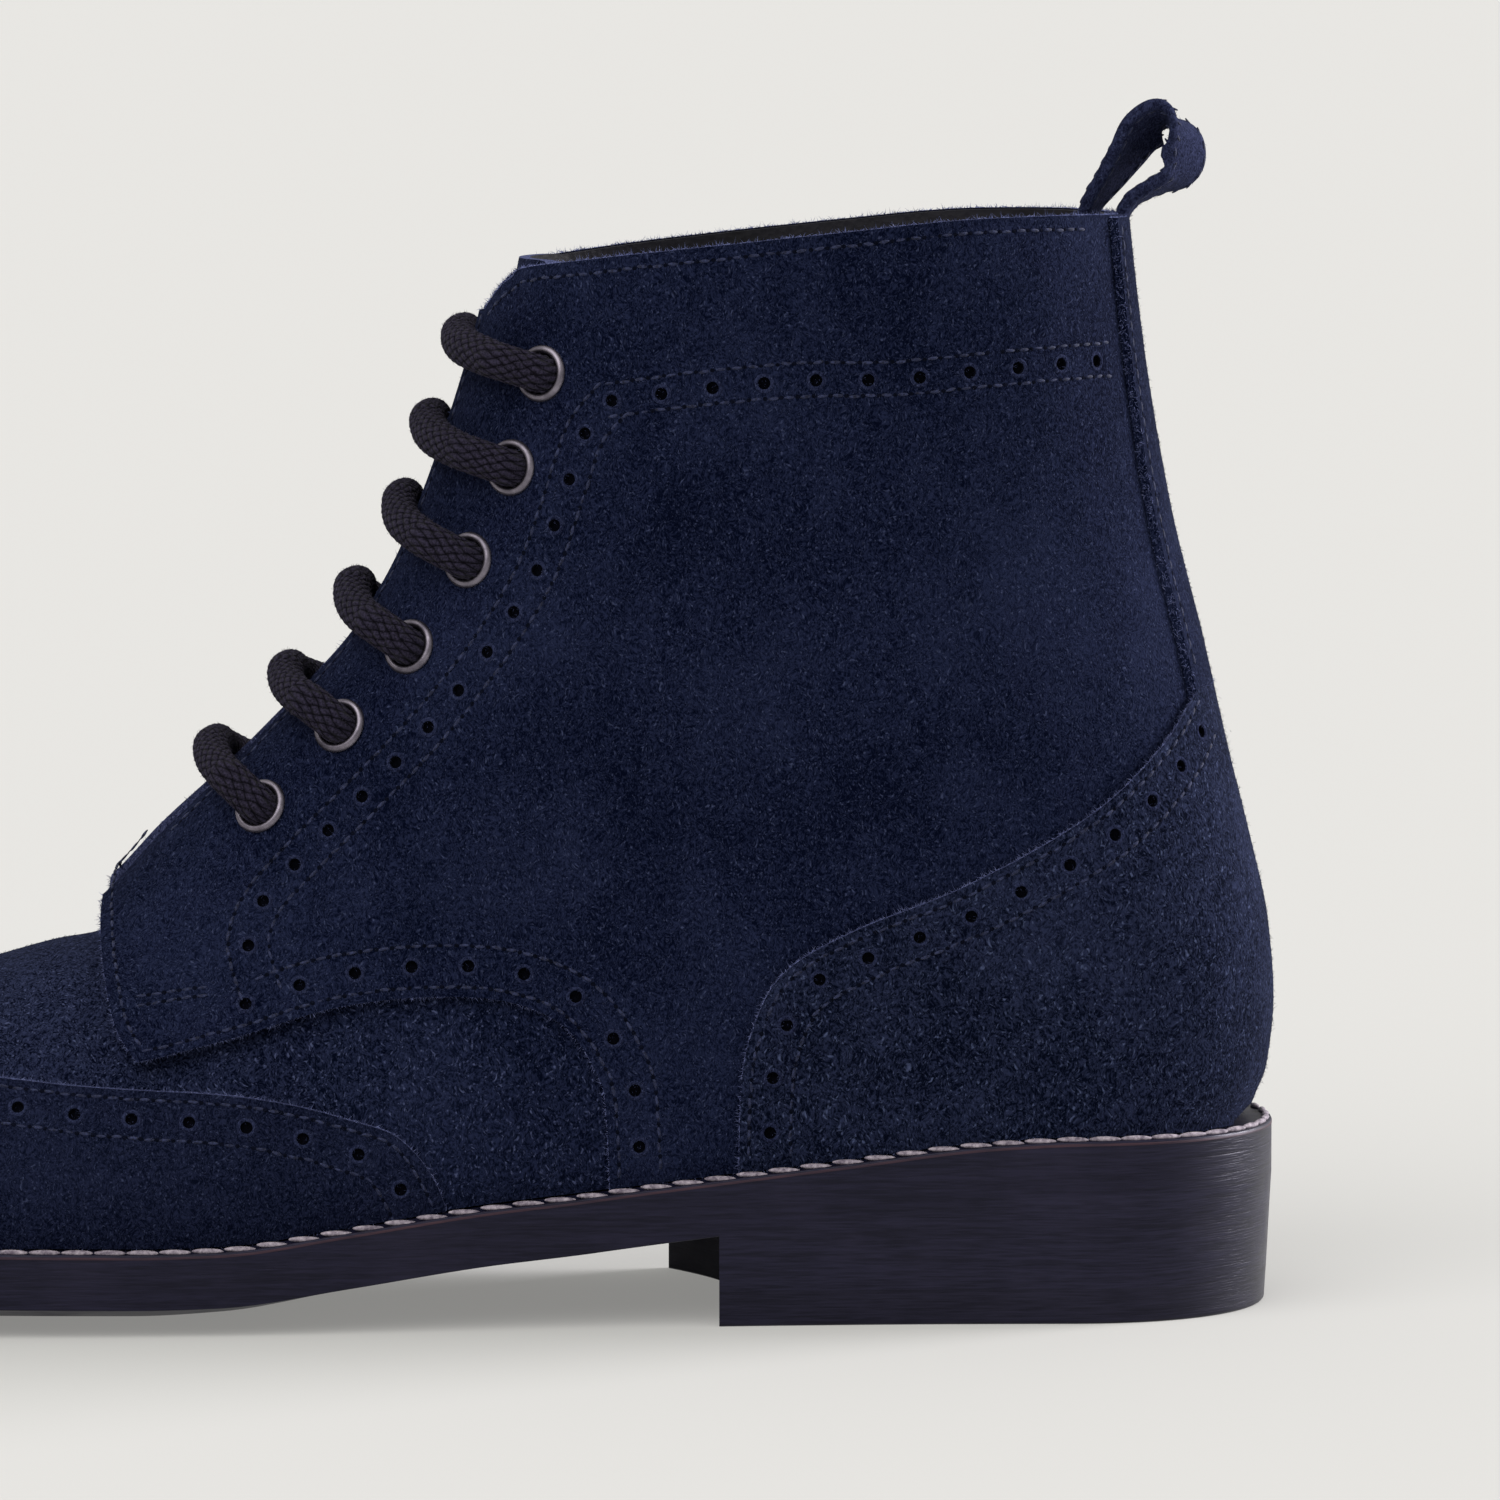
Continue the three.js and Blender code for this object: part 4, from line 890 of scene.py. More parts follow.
def sheet_faces(rows, columns, first=0, turned=False):
    i, j = np.meshgrid(np.arange(rows - 1), np.arange(columns - 1), indexing="ij")
    a = (first + i * columns + j).ravel()
    quads = np.stack([a, a + 1, a + columns + 1, a + columns], -1)
    return (quads[:, ::-1] if turned else quads).tolist()


def tube_faces(rings, around):
    """Faces of a tube of rings, closed round and capped at both ends."""
    faces = sheet_faces(rings, around)
    seam = np.arange(rings - 1) * around
    faces += np.stack([seam + around - 1, seam, seam + around, seam + 2 * around - 1], -1).tolist()
    faces += [list(range(around)), list(range(rings * around - 1, (rings - 1) * around - 1, -1))]
    return faces


def outward(thing):
    """Turns every face of a closed form to look out."""
    shape = bmesh.new()
    shape.from_mesh(thing.data)
    bmesh.ops.recalc_face_normals(shape, faces=shape.faces)
    shape.to_mesh(thing.data)
    shape.free()
    return thing


print("material slots:", NAP, CUT, FLESH, PIT)

# %% Full skins, slabs and prisms
SECTION_STEPS = 230
SIDE_STEPS = 66


def skin_solid(name, skin, index=NAP, materials=()):
    """A skin as one full solid, closed over the collar, the bottom and the toe."""
    columns, rows = 2 * SIDE_STEPS + 1, SECTION_STEPS + 1
    section = np.linspace(0, LAST_SECTION, rows)[:, None]
    turn = np.arange(-SIDE_STEPS, SIDE_STEPS + 1)
    share = (1 + np.cos(np.pi * turn / SIDE_STEPS))[None, :] / 2
    side = np.where(turn < 0, -1, 1)[None, :]
    points = skin_points(section * np.ones_like(share), share * np.ones_like(section), side, skin)
    faces = sheet_faces(rows, columns)
    for i in range(rows - 1):
        a = i * columns
        faces.append([a, a + columns, a + 2 * columns - 1, a + columns - 1])
    last = (rows - 1) * columns
    for j in range(SIDE_STEPS):
        k = columns - 1 - j
        faces.append([j, k, k - 1, j + 1][: 4 if k - 1 > j + 1 else 3])
        faces.append([last + k, last + j, last + j + 1, last + k - 1][: 4 if k - 1 > j + 1 else 3])
    return mesh_object(name, points, faces, index, materials)


def slab(name, rows, columns, upper, lower, index=NAP, materials=()):
    """A solid between an upper and a lower sheet of rows by columns."""
    count = rows * columns
    faces = sheet_faces(rows, columns, 0, True) + sheet_faces(rows, columns, count)
    edge = [(j, j + 1) for j in range(columns - 1)]
    edge += [(count - 1 - j, count - 2 - j) for j in range(columns - 1)]
    edge += [((i + 1) * columns, i * columns) for i in range(rows - 1)]
    edge += [((i + 1) * columns - 1, (i + 2) * columns - 1) for i in range(rows - 1)]
    faces += [[a, b, b + count, a + count] for a, b in edge]
    points = np.concatenate([np.reshape(upper, (-1, 3)), np.reshape(lower, (-1, 3))])
    return mesh_object(name, points, faces, index, materials)


def prism(name, outline, lift, index=CUT):
    """A prism over a flat outline: lift turns outline points and a depth into space."""
    count = len(outline)
    points = np.concatenate([lift(outline, 0), lift(outline, 1)])
    faces = [list(range(count)), list(range(2 * count - 1, count - 1, -1))]
    faces += [[(i + 1) % count, i, i + count, (i + 1) % count + count] for i in range(count)]
    return outward(mesh_object(name, points, faces, index))


print("helpers ready; a full skin has", (SECTION_STEPS + 1) * (2 * SIDE_STEPS + 1), "points")

# %% Pattern pieces
# Seen from the side: shares of the length and of the collar height above the welt. A trailing
# "corner" breaks the curve there.
QUARTER_EDGE = [
    (0.64, -0.1), (0.637, 0.074), (0.631, 0.132), (0.608, 0.194), (0.56, 0.228), (0.479, 0.237),
    (0.378, 0.2, "corner"), (0.364, 0.243), (0.353, 0.34), (0.356, 0.39), (0.364, 0.43, "corner"),
    (0.3, 0.6, "corner"), (0.53, 0.96, "corner"), (0.568, 0.968, "corner"), (0.582, 0.998),
    (0.61, 1.013), (0.77, 1.0115), (0.88, 1.004), (1.06, 0.99, "corner"), (1.06, -0.1, "corner"),
]
VAMP_REAR = [
    (0.668, -0.1), (0.662, 0.12), (0.635, 0.21), (0.56, 0.262), (0.46, 0.268),
    (0.41, 0.265, "corner"), (0.4, 0.5, "corner"), (-0.06, 0.5, "corner"), (-0.06, -0.1, "corner"),
]
WING_EDGE = [
    (0.549, -0.1), (0.548, 0.005), (0.527, 0.08), (0.497, 0.115), (0.432, 0.16), (0.331, 0.175),
    (0.255, 0.192), (0.213, 0.216), (0.18, 0.26, "corner"), (0.17, 0.5, "corner"),
    (-0.06, 0.5, "corner"), (-0.06, -0.1, "corner"),
]
COUNTER_EDGE = [
    (0.71, -0.1), (0.711, 0.085), (0.718, 0.16), (0.7354, 0.217), (0.775, 0.254), (0.835, 0.287),
    (0.899, 0.349), (0.941, 0.418), (0.966, 0.4825, "corner"), (1.06, 0.5, "corner"),
    (1.06, -0.1, "corner"),
]
WING_PEAK = [(0.262, 0), (0.24, 0.05), (0.218, 0.115), (0.2, 0.2), (0.192, 0.6)]
FINE = 14
print("pattern rows:", len(QUARTER_EDGE), len(VAMP_REAR), len(WING_EDGE), len(COUNTER_EDGE))


# %% Prisms over the patterns
def curve_points(rows, fine=FINE):
    """Curves through rows, breaking where a row says corner."""
    points, run = [], []
    for row in rows + [None]:
        if row is not None:
            run.append(row[:2])
        if row is None or len(row) > 2:
            if len(run) > 2:
                points.extend(flow(run)(np.linspace(0, len(run) - 1, fine * (len(run) - 1) + 1)))
            else:
                points.extend(np.array(run, float))
            run = [row[:2]] if row is not None else []
    kept = [points[0]]
    for point in points[1:]:
        if np.hypot(*(point - kept[-1])) > 1e-6:
            kept.append(point)
    return np.array(kept)


def side_prism(name, rows, shift=0.0):
    outline = curve_points(rows)

    def lift(flat, end):
        x = length_at(flat[:, 0])
        z = welt_top(x) + flat[:, 1] * COLLAR_HEIGHT + shift
        return np.stack([x, np.full(len(x), (2 * end - 1) * BALL_WIDTH), z], -1)

    return prism(name, outline, lift)


def end_prism(name, outline, start, end):
    def lift(flat, which):
        return np.stack([np.full(len(flat), end if which else start), flat[:, 0], flat[:, 1]], -1)

    return prism(name, np.array(outline, float), lift)


def peak_prism(name):
    half = curve_points(WING_PEAK)
    x, y = length_at(half[:, 0]), half[:, 1] * BALL_WIDTH
    centre, far, reach = swing(x[0]), length_at(-0.06), y[-1]
    outline = [(a, centre + b) for a, b in zip(x, y)] + [(far, centre + reach), (far, centre - reach)]
    outline += [(a, centre - b) for a, b in zip(x[:0:-1], y[:0:-1])]

    def lift(flat, end):
        return np.stack([flat[:, 0], flat[:, 1], np.full(len(flat), end * COLLAR_HEIGHT)], -1)

    return prism(name, np.array(outline), lift)


def ground(clearance=SEAM_GAP):
    x = np.linspace(TOE - 2 * SOLE_MARGIN, float(heel_curve(0.0)) + 2 * SOLE_MARGIN, 161)
    y = np.array([-BALL_WIDTH, BALL_WIDTH], float)
    upper = [[(a, b, float(welt_top(a)) + clearance) for b in y] for a in x]
    lower = [[(a, b, -COLLAR_HEIGHT) for b in y] for a in x]
    return slab("ground", len(x), 2, upper, lower, CUT)


under_welt = ground()
print("quarter outline points:", len(curve_points(QUARTER_EDGE)))


# %% [markdown]
# Panels
#
# The maker's order is followed: the vamp, then the quarters that lap over it and stand off the
# instep at their facings, then the overlays: wing cap, heel counter and backstay. Each one is the
# difference of two skins, met with its pattern and trimmed at the welt.

# %% Cut the panels
def panel(name, outer, inner, area, materials, operation="INTERSECT"):
    thing = skin_solid(name, outer, NAP, materials)
    core = skin_solid("core", inner, FLESH)
    cut(thing, area, operation)
    cut(thing, core, "DIFFERENCE")
    cut(thing, under_welt, "DIFFERENCE")
    discard(core)
    return crisp(thing)


print("a panel takes three cuts")

# %% Sizes of the throat and the strips
THROAT_WIDTH = 16
THROAT_FLARE = 5
EYELET_PLACES = np.array([
    (0.4436, 0.463), (0.488, 0.5385), (0.527, 0.614), (0.56, 0.7), (0.584, 0.796), (0.601, 0.895),
])
LOOP_LEG = 7
BACKSTAY_WIDTH = 26
BACKSTAY_SPREAD = 5
LEATHER = 1.3
BEDDED = 0.12
PAIRS = len(EYELET_PLACES)
SLOT_TOP = 1.3 * COLLAR_HEIGHT
FACE_OF_OVERLAY = SEAM_GAP + OVERLAY_THICKNESS
CAP_FACE, COUNTER_FACE = over(VAMP, FACE_OF_OVERLAY), over(QUARTER, FACE_OF_OVERLAY)

throat_low = THROAT_WIDTH / 2
throat_high = throat_low + THROAT_FLARE / 2
throat_centre = float(swing(length_at(EYELET_PLACES[0, 0]))) / 2
slot_shape = [
    (throat_centre - throat_low, 0), (throat_centre + throat_low, 0),
    (throat_centre + throat_low, VAMP_HEIGHT), (throat_centre + throat_high, SLOT_TOP),
    (throat_centre - throat_high, SLOT_TOP), (throat_centre - throat_low, VAMP_HEIGHT),
]
throat_slot = end_prism("throat_slot", slot_shape, TOE, length_at(0.7))
quarter_area = side_prism("quarter_area", QUARTER_EDGE)
lining_area = side_prism("lining_area", QUARTER_EDGE, -0.25)
vamp_area = side_prism("vamp_area", VAMP_REAR)
counter_area = side_prism("counter_area", COUNTER_EDGE)
above_counter = side_prism("above_counter", COUNTER_EDGE, 0.15)
wing_area = cut(side_prism("wing_area", WING_EDGE), peak_prism("peak"), "UNION")

print("pairs of eyelets:", PAIRS, "throat", THROAT_WIDTH, "mm wide at its foot")

# %% Vamp, quarters, lining and overlays
vamp = panel("vamp", VAMP, LINING, vamp_area, [vamp_suede, cut_edge_painted_highlight, lining_leather, hole_painted_shade])
quarters = panel(
    "quarters", QUARTER, over(QUARTER, -LEATHER), quarter_area,
    [quarter_suede, cut_edge_painted_highlight, flesh_side, hole_painted_shade],
)
cut(quarters, throat_slot, "DIFFERENCE")
lining = panel(
    "quarter_lining", over(QUARTER, -LEATHER - 0.05), {**QUARTER, "grow": LINING["grow"]}, lining_area,
    [flesh_side, lining_leather, lining_leather],
)
cut(lining, throat_slot, "DIFFERENCE")
wing_cap = panel(
    "wing_cap_panel", CAP_FACE, over(VAMP, BEDDED), wing_area,
    [cap_suede, cut_edge_painted_highlight, flesh_side, hole_painted_shade],
)
counter = panel(
    "heel_counter_panel", COUNTER_FACE, over(QUARTER, BEDDED), counter_area,
    [counter_suede, cut_edge_painted_highlight, flesh_side, hole_painted_shade],
)
half_strip = BACKSTAY_WIDTH / 2
strip_top = collar_height - SEAM_GAP
strip_shape = [
    (-half_strip - BACKSTAY_SPREAD, 0), (half_strip + BACKSTAY_SPREAD, 0),
    (half_strip, strip_top), (-half_strip, strip_top),
]
strip = end_prism("strip", strip_shape, length_at(0.75), length_at(1.1))
backstay = panel(
    "backstay_strip", COUNTER_FACE, over(QUARTER, BEDDED), strip,
    [quarter_suede, cut_edge_painted_highlight, flesh_side],
)
cut(backstay, above_counter, "DIFFERENCE")
panels = {
    "vamp": vamp, "quarters": quarters, "lining": lining, "cap": wing_cap, "counter": counter,
    "backstay": backstay,
}
for name, thing in panels.items():
    print(name, "faces:", len(thing.data.polygons))

# %% [markdown]
# Tongue
#
# The tongue is a soft leaf of the same suede that rises under the lace from the vamp. Between the
# bars only a strip of it shows, so it is one thin panel with rounded top corners.

# %% Cut the tongue
TONGUE_WIDTH = 46
TONGUE_THICKNESS = 1.8
TONGUE_CORNER = 8
root = float(swing(length_at(0.42)))
tongue_half = TONGUE_WIDTH / 2
shoulder = np.linspace(0, math.pi / 2, 9)
corner_y = tongue_half - TONGUE_CORNER + TONGUE_CORNER * np.cos(shoulder)
corner_z = collar_height - LOOP_LEG - TONGUE_CORNER + TONGUE_CORNER * np.sin(shoulder)
tongue_shape = [(root - tongue_half, 60.0), (root + tongue_half, 60.0)]
tongue_shape += list(zip(corner_y, corner_z)) + list(zip(-corner_y[::-1], corner_z[::-1]))
leaf = end_prism("leaf", tongue_shape, length_at(0.365), length_at(0.72))
tongue = skin_solid("tongue_leaf", TONGUE, NAP, [quarter_suede, cut_edge_painted_highlight, lining_leather])
tongue_core = skin_solid("tongue_core", over(TONGUE, -TONGUE_THICKNESS), FLESH)
cut(tongue, leaf, "INTERSECT")
cut(tongue, tongue_core, "DIFFERENCE")
low_edge = [(-0.06, -0.5, "corner"), (1.06, -0.5, "corner"), (1.06, 0.2, "corner"), (-0.06, 0.24, "corner")]
below_tongue = side_prism("below_tongue", low_edge)
cut(tongue, below_tongue, "DIFFERENCE")
crisp(tongue)
discard(tongue_core, leaf, below_tongue)
print("tongue faces:", len(tongue.data.polygons))

# %% [markdown]
# Sole
#
# Outsole, welt and stacked heel share one outline, grown from the last by a margin. Each is built
# as rings that follow that outline: the rings run over the top, round a small rim, down the wall
# and under the bottom. A bevel modifier could round the rims, but rings keep them even where the
# toe turns, and give the dished bottom its own rings.

# %% Rings that follow the outline
FLAT_SPOT = 0.35
BREAST = {"middle": 0.715, "outer": 0.699, "inner": 0.669}
SEAM = 0.004
AROUND = 400
SOLE_RIM = 0.25
RIM_TURN = np.radians([0, 30, 60, 90])


def outline_ring(grow, count=AROUND):
    """Places round the sole: x, side and half width, from the toe along the outer side."""
    turn = 2 * np.pi * np.arange(count) / count
    start, end = TOE - grow, float(heel_curve(0.0)) + grow
    x = start + (end - start) * (1 - np.cos(turn)) / 2
    side = np.where(turn <= np.pi, -1.0, 1.0)
    return x, side * feather_half(x, side, grow)


def ring_points(grow, height, share=0.0, drop=0.0):
    """One ring: share draws it in towards the middle line, drop lowers it."""
    x, half = outline_ring(grow)
    middle = np.clip(x, TOE + TOE_ROUND, float(heel_curve(0.0)) - HEEL_ROUND)
    x = x + (middle - x) * share
    return np.stack([x, swing(x) + half * (1 - share), height(x, 1 - share) - drop], -1)


def loft(name, rings, materials, closed=False):
    """Skins a list of rings. An open list ends in rings that have shrunk to a line."""
    rings = np.array(rings)
    count, around = len(rings), rings.shape[1]
    i, j = np.meshgrid(np.arange(count if closed else count - 1), np.arange(around), indexing="ij")
    here, there = (i * around + j).ravel(), (i * around + (j + 1) % around).ravel()
    below, beyond = (here + around) % (count * around), (there + around) % (count * around)
    faces = np.stack([here, there, beyond, below], -1)
    return cleaned(mesh_object(name, rings, faces.tolist(), NAP, materials), 1e-7)


def rounded_wall(grow, top, bottom, top_rim, bottom_rim):
    rings = [
        ring_points(grow - top_rim * (1 - np.sin(a)), top, 0, top_rim * (1 - np.cos(a))) for a in RIM_TURN
    ]
    rings += [ring_points(grow, top, 0, top_rim + 0.35), ring_points(grow, bottom, 0, -bottom_rim - 0.35)]
    rings += [
        ring_points(grow - bottom_rim * (1 - np.sin(a)), bottom, 0, -bottom_rim * (1 - np.cos(a)))
        for a in RIM_TURN[::-1]
    ]
    return rings


def dish(r):
    return (np.maximum(0, np.abs(r) - FLAT_SPOT) / (1 - FLAT_SPOT)) ** 2


def outsole_bottom(x, r):
    return sole_centre(x) + sole_crown(x) * dish(r)


def outsole_cap(x, r):
    return outsole_top(x) + 0 * r


def welt_cap(x, r):
    return welt_top(x) + 0 * r


def welt_base(x, r):
    return outsole_top(x) + SEAM + 0 * r


def dull_faces(piece, way, least):
    """Gives the second material to the faces that look one way."""
    normals = np.empty(len(piece.data.polygons) * 3, np.float32)
    piece.data.polygons.foreach_get("normal", normals)
    chosen = normals.reshape(-1, 3) @ np.array(way, np.float32) > least
    piece.data.polygons.foreach_set("material_index", chosen.astype(np.int32))


print("points in a ring:", AROUND)

# %% Outsole and welt
cap_rings = [ring_points(SOLE_MARGIN - 0.1, outsole_cap, share) for share in (1, 0.6, 0.25, 0.06)]
base_rings = [
    ring_points(SOLE_MARGIN - 0.5, outsole_bottom, share)
    for share in (0.03, 0.08, 0.15, 0.23, 0.32, 0.42, 0.53, 0.65, 0.8, 1)
]
wall_rings = rounded_wall(SOLE_MARGIN, outsole_cap, outsole_bottom, 0.02, SOLE_RIM)
outsole = crisp(loft("outsole_plate", cap_rings + wall_rings + base_rings, [sole_edge]), 50)
WELT_INSIDE = -LINING_DEPTH - SEAM_GAP
welt_rings = [ring_points(WELT_INSIDE, welt_cap)]
welt_rings += rounded_wall(SOLE_MARGIN, welt_cap, welt_base, 0.4, 0.02)
welt_rings += [ring_points(WELT_INSIDE, welt_base)]
welt = crisp(loft("welt_strip", welt_rings, [welt_leather, welt_top_leather], True), 50)
dull_faces(welt, (0, 0, 1), 0.95)
LINE_BAND = table("out drop", (-0.3, 0.06), (0.05, 0.42), (0.05, 0.78), (-0.3, 0.78))
line_rings = [
    ring_points(SOLE_MARGIN + out, welt_cap, 0, drop) for out, drop in zip(*LINE_BAND.values())
]
welt_line = crisp(loft("welt_red_line", line_rings, [red_line], True), 50)
print("outsole faces:", len(outsole.data.polygons), "welt faces:", len(welt.data.polygons))

# %% Heel lifts
# The heel's plan is a loop: out along the side, round the back, home along the other side and
# across the breast, which is hollow towards the toe.


def heel_loop(margin, steps=90, across=24):
    t = np.linspace(0, 1, steps + 1)
    r = np.concatenate([np.full(steps, -1.0), np.full(steps + 1, 1.0), np.linspace(1, -1, across + 1)[1:-1]])
    run = np.concatenate([t[:-1], t[::-1], np.zeros(across - 1)])
    bow = (BREAST["outer"] + BREAST["inner"]) / 2 - BREAST["middle"]
    skew = (BREAST["inner"] - BREAST["outer"]) / 2
    breast = length_at(BREAST["middle"] + skew * r + bow * r * r)
    x = breast + (float(heel_curve(0.0)) + margin - breast) * np.sin(np.pi * run / 2)
    return x, swing(x) + r * feather_half(x, r, margin)


def heel_block(name, levels, top, bottom, materials):
    """Levels hold a share of the height, a margin and a lift in millimetres."""
    loops = []
    for share, margin, lift in levels:
        x, y = heel_loop(margin)
        loops.append(np.stack([x, y, bottom + (top(x) - bottom) * share + lift], -1))
    around = len(loops[0])
    points = np.concatenate(loops)
    faces = [list(range(around))[::-1], list(range((len(loops) - 1) * around, len(loops) * around))]
    for i in range(len(loops) - 1):
        j = np.arange(around)
        here, there = i * around + j, i * around + (j + 1) % around
        faces += np.stack([here, there, there + around, here + around], -1).tolist()
    return crisp(mesh_object(name, points, faces, NAP, materials), 50)


def taper(height):
    return SOLE_MARGIN - HEEL_TAPER * (1 - height / HEEL_HEIGHT)


def level_top(x):
    return 0 * x + TOP_PIECE_THICKNESS


def stack_top(x):
    return sole_centre(x) - SEAM


low_margin, mid_margin = taper(TOP_PIECE_THICKNESS), taper(0)
stack_levels = [
    (0, low_margin, 0), (0.33, low_margin + 0.25, 0), (0.66, low_margin + 0.5, 0),
    (1, SOLE_MARGIN, SOLE_RIM),
]
heel_stack = heel_block(
    "heel_lifts", stack_levels, stack_top, TOP_PIECE_THICKNESS + SEAM, [heel_edge, welt_top_leather]
)
top_levels = [
    (0, mid_margin - 0.6, 0), (0, mid_margin - 0.25, 0.1), (0, mid_margin - 0.05, 0.35),
    (0, mid_margin, 0.65), (0, mid_margin + 0.01, 1.0), (1, low_margin, 0),
]
top_piece = heel_block("heel_top_lift", top_levels, level_top, 0.0, [top_rubber, welt_top_leather])
for lift in (heel_stack, top_piece):
    dull_faces(lift, (-1, 0, 0), 0.7)
print("heel faces:", len(heel_stack.data.polygons), len(top_piece.data.polygons))

# %% [markdown]
# Seams and punched rows
#
# Rows are laid as a maker marks them: a line at a set distance inside a panel's edge, then an
# awl at an even pitch. The edge is lifted onto the skin, moved sideways along it and dropped
# back onto it, so the rows keep their distance where the panel turns round the toe or the heel.
# Thousands of stitches would be too many objects, so one small stitch is copied by array sums
# into a single joined mesh.

# %% Lines on a skin
def unit(vectors):
    return vectors / np.maximum(np.linalg.norm(vectors, axis=-1, keepdims=True), 1e-9)


def skin_frame(section, share, side, skin):
    """Point and outward normal on a skin."""
    here = skin_points(section, share, side, skin)
    step = np.where(section < LAST_SECTION - 0.1, 0.05, -0.05)
    along = (skin_points(section + step, share, side, skin) - here) * np.sign(step)[..., None]
    lean = np.where(share > 0.5, -0.004, 0.004)
    across = (skin_points(section, share + lean, side, skin) - here) * np.sign(lean)[..., None]
    normal = np.cross(along, across) * np.asarray(side)[..., None]
    normal = unit(normal)
    flip = np.where(normal[..., 1] * side < 0, -1, 1)
    return here, normal * flip[..., None]


def from_above(x, y, skin):
    """Section, share and side of the place that lies under a point of the plan."""
    side = np.where(y < swing(x), -1, 1)
    low, high = np.zeros(x.shape), np.full(x.shape, 1.2 * COLLAR_HEIGHT)
    for _ in range(30):
        middle = (low + high) / 2
        section, share = locate(x, middle, skin)
        half = half_width(x, middle, share, section, side, skin["grow"])
        wide = (half > np.abs(y - swing(x))) & (share < 1)
        low, high = np.where(wide, middle, low), np.where(wide, high, middle)
    section, share = locate(x, low, skin)
    return section, share, side


def settle(points, skin, side):
    """Drops points onto a skin: sideways on walls, from above where the skin lies flat."""
    section, share = locate(points[:, 0], points[:, 2] - welt_top(points[:, 0]), skin)
    sides = np.full(len(section), side)
    _, normal = skin_frame(section, share, sides, skin)
    flat = (np.abs(normal[:, 2]) > 0.72) | (share > 0.985)
    if flat.any():
        section[flat], share[flat], sides[flat] = from_above(points[flat, 0], points[flat, 1], skin)
    return skin_frame(section, share, sides, skin)


ball_place = np.array([15.0]), np.array([0.3]), np.array([-1])
print("normal near the ball:", skin_frame(*ball_place, VAMP)[1].round(2))


# %% Even places along a line
def spaced(points, pitch, start=0.0, end=0.0):
    """Even places along a line, with the direction of the line there."""
    lengths = np.concatenate([[0], np.cumsum(np.linalg.norm(np.diff(points, axis=0), axis=1))])
    total = lengths[-1] - start - end
    count = max(2, int(round(total / pitch)) + 1)
    at = start + total * np.arange(count) / (count - 1)
    places = np.stack([np.interp(at, lengths, points[:, k]) for k in range(3)], -1)
    ahead = np.stack([np.interp(at + 0.4, lengths, points[:, k]) for k in range(3)], -1)
    behind = np.stack([np.interp(at - 0.4, lengths, points[:, k]) for k in range(3)], -1)
    direction = ahead - behind
    return places, unit(direction)


def inset_line(points, normals, distance):
    """A line moved sideways along the skin, to the left of its own direction."""
    direction = unit(np.gradient(points, axis=0))
    return points + np.cross(normals, direction) * distance


def edge_line(rows, side, skin, spacing=1.0):
    """The part of a pattern edge that lies over the welt, as points on a skin."""
    outline = curve_points(rows)
    outline = outline[(outline[:, 1] > 0.012)]
    section, share = locate(length_at(outline[:, 0]), outline[:, 1] * COLLAR_HEIGHT, skin)
    points, _ = skin_frame(section, share, np.full(len(section), side), skin)
    points, _ = spaced(points, spacing)
    return settle(points, skin, side)


rows_of = {"stitches": [], "holes": []}
STITCH_PITCH = 2.6


def sew(line, skin, side, inset, pitch=STITCH_PITCH, start=0.0, end=0.0):
    """Marks a row of stitches at a distance from a line. A side of -1 turns the distance round."""
    points, normals = line
    moved, _ = settle(inset_line(points, normals, inset * side), skin, side)
    places, direction = spaced(moved, pitch, start, end)
    places, normal = settle(places, skin, side)
    rows_of["stitches"].append((places, direction, normal))


def punch(line, skin, side, inset, pitch, start=0.0, end=0.0, owner="quarters"):
    points, normals = line
    moved, _ = settle(inset_line(points, normals, inset * side), skin, side)
    places, _ = spaced(moved, pitch, start, end)
    places, normal = settle(places, skin, side)
    rows_of["holes"].append((owner, places, normal))


print("a stitch every", STITCH_PITCH, "mm")

